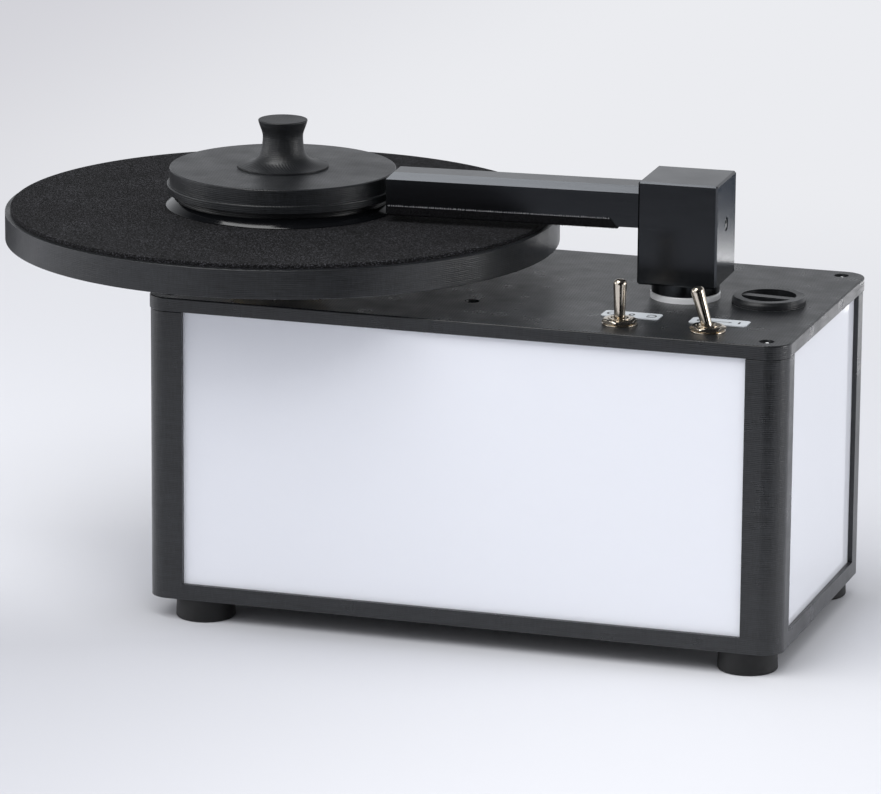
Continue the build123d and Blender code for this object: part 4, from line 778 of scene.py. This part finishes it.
def backdrop_paper():
    """A wide sweep of pale paper: matt, so that it shows the object's soft shadow and nothing else. Its
    colour carries painted shade, greyer to the left and towards the front, and far behind it glows as bright
    as the sweep, with painted shade towards the left."""
    fibre, fibre_depth = 2 * MM, 0.02 * MM
    finish, tree = new_finish("backdrop_paper")
    point = add(tree, "TexCoord").outputs["Object"]
    axes = add(tree, "SeparateXYZ", {0: point}).outputs
    rightwards = add(tree, "MapRange", {"Value": axes["X"], "From Min": -0.25, "From Max": 0.25},
                     interpolation_type="SMOOTHSTEP").outputs[0]
    backwards = add(tree, "MapRange", {"Value": axes["Y"], "From Min": -0.2, "From Max": 0.02},
                    interpolation_type="SMOOTHSTEP").outputs[0]
    lit = add(tree, "Math", {0: rightwards, 1: backwards}, operation="MAXIMUM").outputs[0]
    # Painted shade: the paper's colour is greyer to the left and towards the front, where less light falls.
    paper_with_painted_shade = add(tree, "Mix", {MIX_AMOUNT: lit, FIRST_COLOUR: "#B8B9BE", SECOND_COLOUR: "#D6D7DB"},
                data_type="RGBA").outputs[MIXED_COLOUR]
    fibres = add(tree, "TexNoise", {"Vector": point, "Scale": 1 / fibre, "Detail": 2.0}).outputs["Fac"]
    bump = add(tree, "Bump", {"Height": fibres, "Strength": 0.2, "Distance": fibre_depth}).outputs[0]
    near = add(tree, "BsdfPrincipled", {"Base Color": paper_with_painted_shade, "Roughness": 0.9,
                                        "Specular IOR Level": 0.1, "Normal": bump})
    far_right = add(tree, "MapRange", {"Value": axes["X"], "From Min": -0.95, "From Max": -0.35},
                    interpolation_type="SMOOTHSTEP").outputs[0]
    # Painted shade: the far glow is darker towards the left.
    far_glow_with_painted_shade = add(tree, "Mix", {MIX_AMOUNT: far_right, FIRST_COLOUR: "#D2D2D8",
                                 SECOND_COLOUR: "#EBECF0"}, data_type="RGBA").outputs[MIXED_COLOUR]
    far = add(tree, "Emission", {"Color": far_glow_with_painted_shade})
    distance = add(tree, "MapRange", {"Value": axes["Y"], "From Min": 0.3, "From Max": 1.1},
                   interpolation_type="SMOOTHSTEP").outputs[0]
    amount = add(tree, "Math", {0: distance, 1: seen_rays(tree)}, operation="MULTIPLY").outputs[0]
    shader = add(tree, "MixShader", {0: amount, 1: near.outputs[0], 2: far.outputs[0]})
    add(tree, "OutputMaterial", {"Surface": shader.outputs[0]})
    return finish


def stage_sheet(name, corners, finish):
    """A flat sheet that belongs to the studio."""
    mesh = bpy.data.meshes.new(name)
    mesh.from_pydata(corners, [], [tuple(range(len(corners)))])
    mesh.materials.append(finish)
    sheet = bpy.data.objects.new(name, mesh)
    bpy.context.scene.collection.objects.link(sheet)
    return sheet


def pale_floor():
    """The paper lies a hair below the feet."""
    floor = stage_sheet("floor", [(-FLOOR_HALF, -FLOOR_HALF, 0), (FLOOR_HALF, -FLOOR_HALF, 0),
                                  (FLOOR_HALF, FLOOR_HALF, 0), (-FLOOR_HALF, FLOOR_HALF, 0)],
                        backdrop_paper())
    floor.location.z = -FLOOR_DROP


def studio_card(name, corners, shade, glow=0.0):
    """A card that only reflections see: dark, as the unlit side of a studio, or bright with a glow."""
    finish, tree = new_finish(name)
    shader = add(tree, "BsdfPrincipled", {"Base Color": shade, "Roughness": 1.0, "Specular IOR Level": 0.0,
                                          "Emission Color": shade, "Emission Strength": glow})
    add(tree, "OutputMaterial", {"Surface": shader.outputs[0]})
    card = stage_sheet(name, corners, finish)
    card.visible_camera = False
    card.visible_diffuse = False
    card.visible_shadow = False
    card.visible_transmission = False


def floor_card(name, corners, shade, glow=0.0):
    studio_card(name, [(x, y, CARD_LIFT) for x, y in corners], shade, glow)


def studio_world(low, high, sweep, ceiling):
    """Even room light, fainter near the floor. What the camera and shiny surfaces see of the room is a
    pale sweep that darkens towards its ceiling."""
    world = bpy.data.worlds.new("studio")
    bpy.context.scene.world = world
    world.use_nodes = True
    tree = world.node_tree
    tree.nodes.clear()
    direction = add(tree, "TexCoord").outputs["Generated"]
    steepness = add(tree, "SeparateXYZ", {0: direction}).outputs["Z"]
    rise = add(tree, "MapRange", {"Value": steepness, "From Min": 0.0, "From Max": 0.3}).outputs[0]
    height = add(tree, "MapRange", {"Value": steepness, "From Min": 0.2, "From Max": 0.62}).outputs[0]
    ambient = add(tree, "Mix", {MIX_AMOUNT: rise, FIRST_COLOUR: low, SECOND_COLOUR: high},
                  data_type="RGBA").outputs[MIXED_COLOUR]
    backdrop = add(tree, "Mix", {MIX_AMOUNT: height, FIRST_COLOUR: sweep, SECOND_COLOUR: ceiling},
                   data_type="RGBA").outputs[MIXED_COLOUR]
    colour = add(tree, "Mix", {MIX_AMOUNT: seen_rays(tree), FIRST_COLOUR: ambient,
                               SECOND_COLOUR: backdrop}, data_type="RGBA").outputs[MIXED_COLOUR]
    shader = add(tree, "Background", {"Color": colour, "Strength": 1.0})
    add(tree, "OutputWorld", {"Surface": shader.outputs[0]})


def softbox(name, place, aim, size, radiance, mirrored=True):
    """A rectangular lamp at a place, facing a point, of an even brightness."""
    lamp = bpy.data.objects.new(name, bpy.data.lights.new(name, "AREA"))
    lamp.data.shape = "RECTANGLE"
    lamp.data.size, lamp.data.size_y = size
    lamp.data.energy = radiance * size[0] * size[1] * math.pi
    lamp.location = place
    lamp.rotation_euler = (Vector(aim) - Vector(place)).to_track_quat("-Z", "Y").to_euler()
    lamp.visible_glossy = mirrored
    bpy.context.scene.collection.objects.link(lamp)


def hang_softboxes():
    softbox("overhead", place=(-0.4, -0.42, 1.62), aim=(-0.38, -0.4, 0.0), size=(1.3, 0.65), radiance=4.1)
    softbox("left_side", place=(-1.6, -0.4, 0.42), aim=(-0.1, 0.0, 0.2), size=(0.8, 0.6), radiance=2.1)
    softbox("front_left", place=(-0.75, -1.25, 1.4), aim=(-0.08, 0.0, 0.2), size=(1.4, 0.8), radiance=2.2)
    softbox("high_front", place=(0.4, -1.25, 1.7), aim=(0.1, -0.09, 0.1), size=(0.9, 0.6), radiance=4.1,
            mirrored=False)
    softbox("right_side", place=(1.9, 0.15, 0.45), aim=(0.2, 0.0, 0.1), size=(0.7, 0.7), radiance=4.6)


def lay_cards():
    """Dark cards and walls in front keep the black faces black, and the one at the rear left does so for
    the left of the platter's rim. The cards at the rear right show in the turret's polished side, blue
    above and bright below."""
    shade, half_shade, left_shade, blue = "#050506", "#56575A", "#303134", "#485260"
    white, glow = "#FFFFFF", 3.2
    floor_card("front_flag", [(-0.5, -2.6), (0.2, -2.6), (0.2, -0.82), (-0.3, -0.8)], half_shade)
    floor_card("right_flag", [(0.2, -2.6), (2.4, -2.6), (1.2, -1.0), (0.7, -0.42), (0.2, -0.42)], shade)
    floor_card("rear_left_flag", [(-1.7, 0.34), (-0.6, 0.34), (-0.5, 0.8), (-1.7, 1.4)], left_shade)
    floor_card("blue_card", [(0.15, 0.93), (1.3, 0.93), (1.6, 2.6), (0.15, 2.6)], blue)
    floor_card("bright_card", [(0.25, 0.735), (0.65, 0.735), (0.65, 0.85), (0.25, 0.85)], white, glow)
    left, right, front, rear, top = -0.6, 2.6, -2.6, -0.2, 2.4
    studio_card("dark_wall", [(left, front, 0), (right, front, 0), (right, front, top), (left, front, top)],
                shade)
    studio_card("dark_side", [(right, front, 0), (right, rear, 0), (right, rear, top), (right, front, top)],
                shade)


dress_nodes()
make_seam()
make_screws()
make_switch_hardware()
make_set_screw()
make_seal()
make_label_marks()
make_velvet(FRONT, "velvet_front", seed=11)
make_velvet(REAR, "velvet_rear", seed=12)
place_camera()
pale_floor()
studio_world(low="#838488", high="#E4E5E9", sweep="#DADCE0", ceiling="#2C2D30")
hang_softboxes()
lay_cards()
bpy.context.scene.view_settings.view_transform = "Standard"
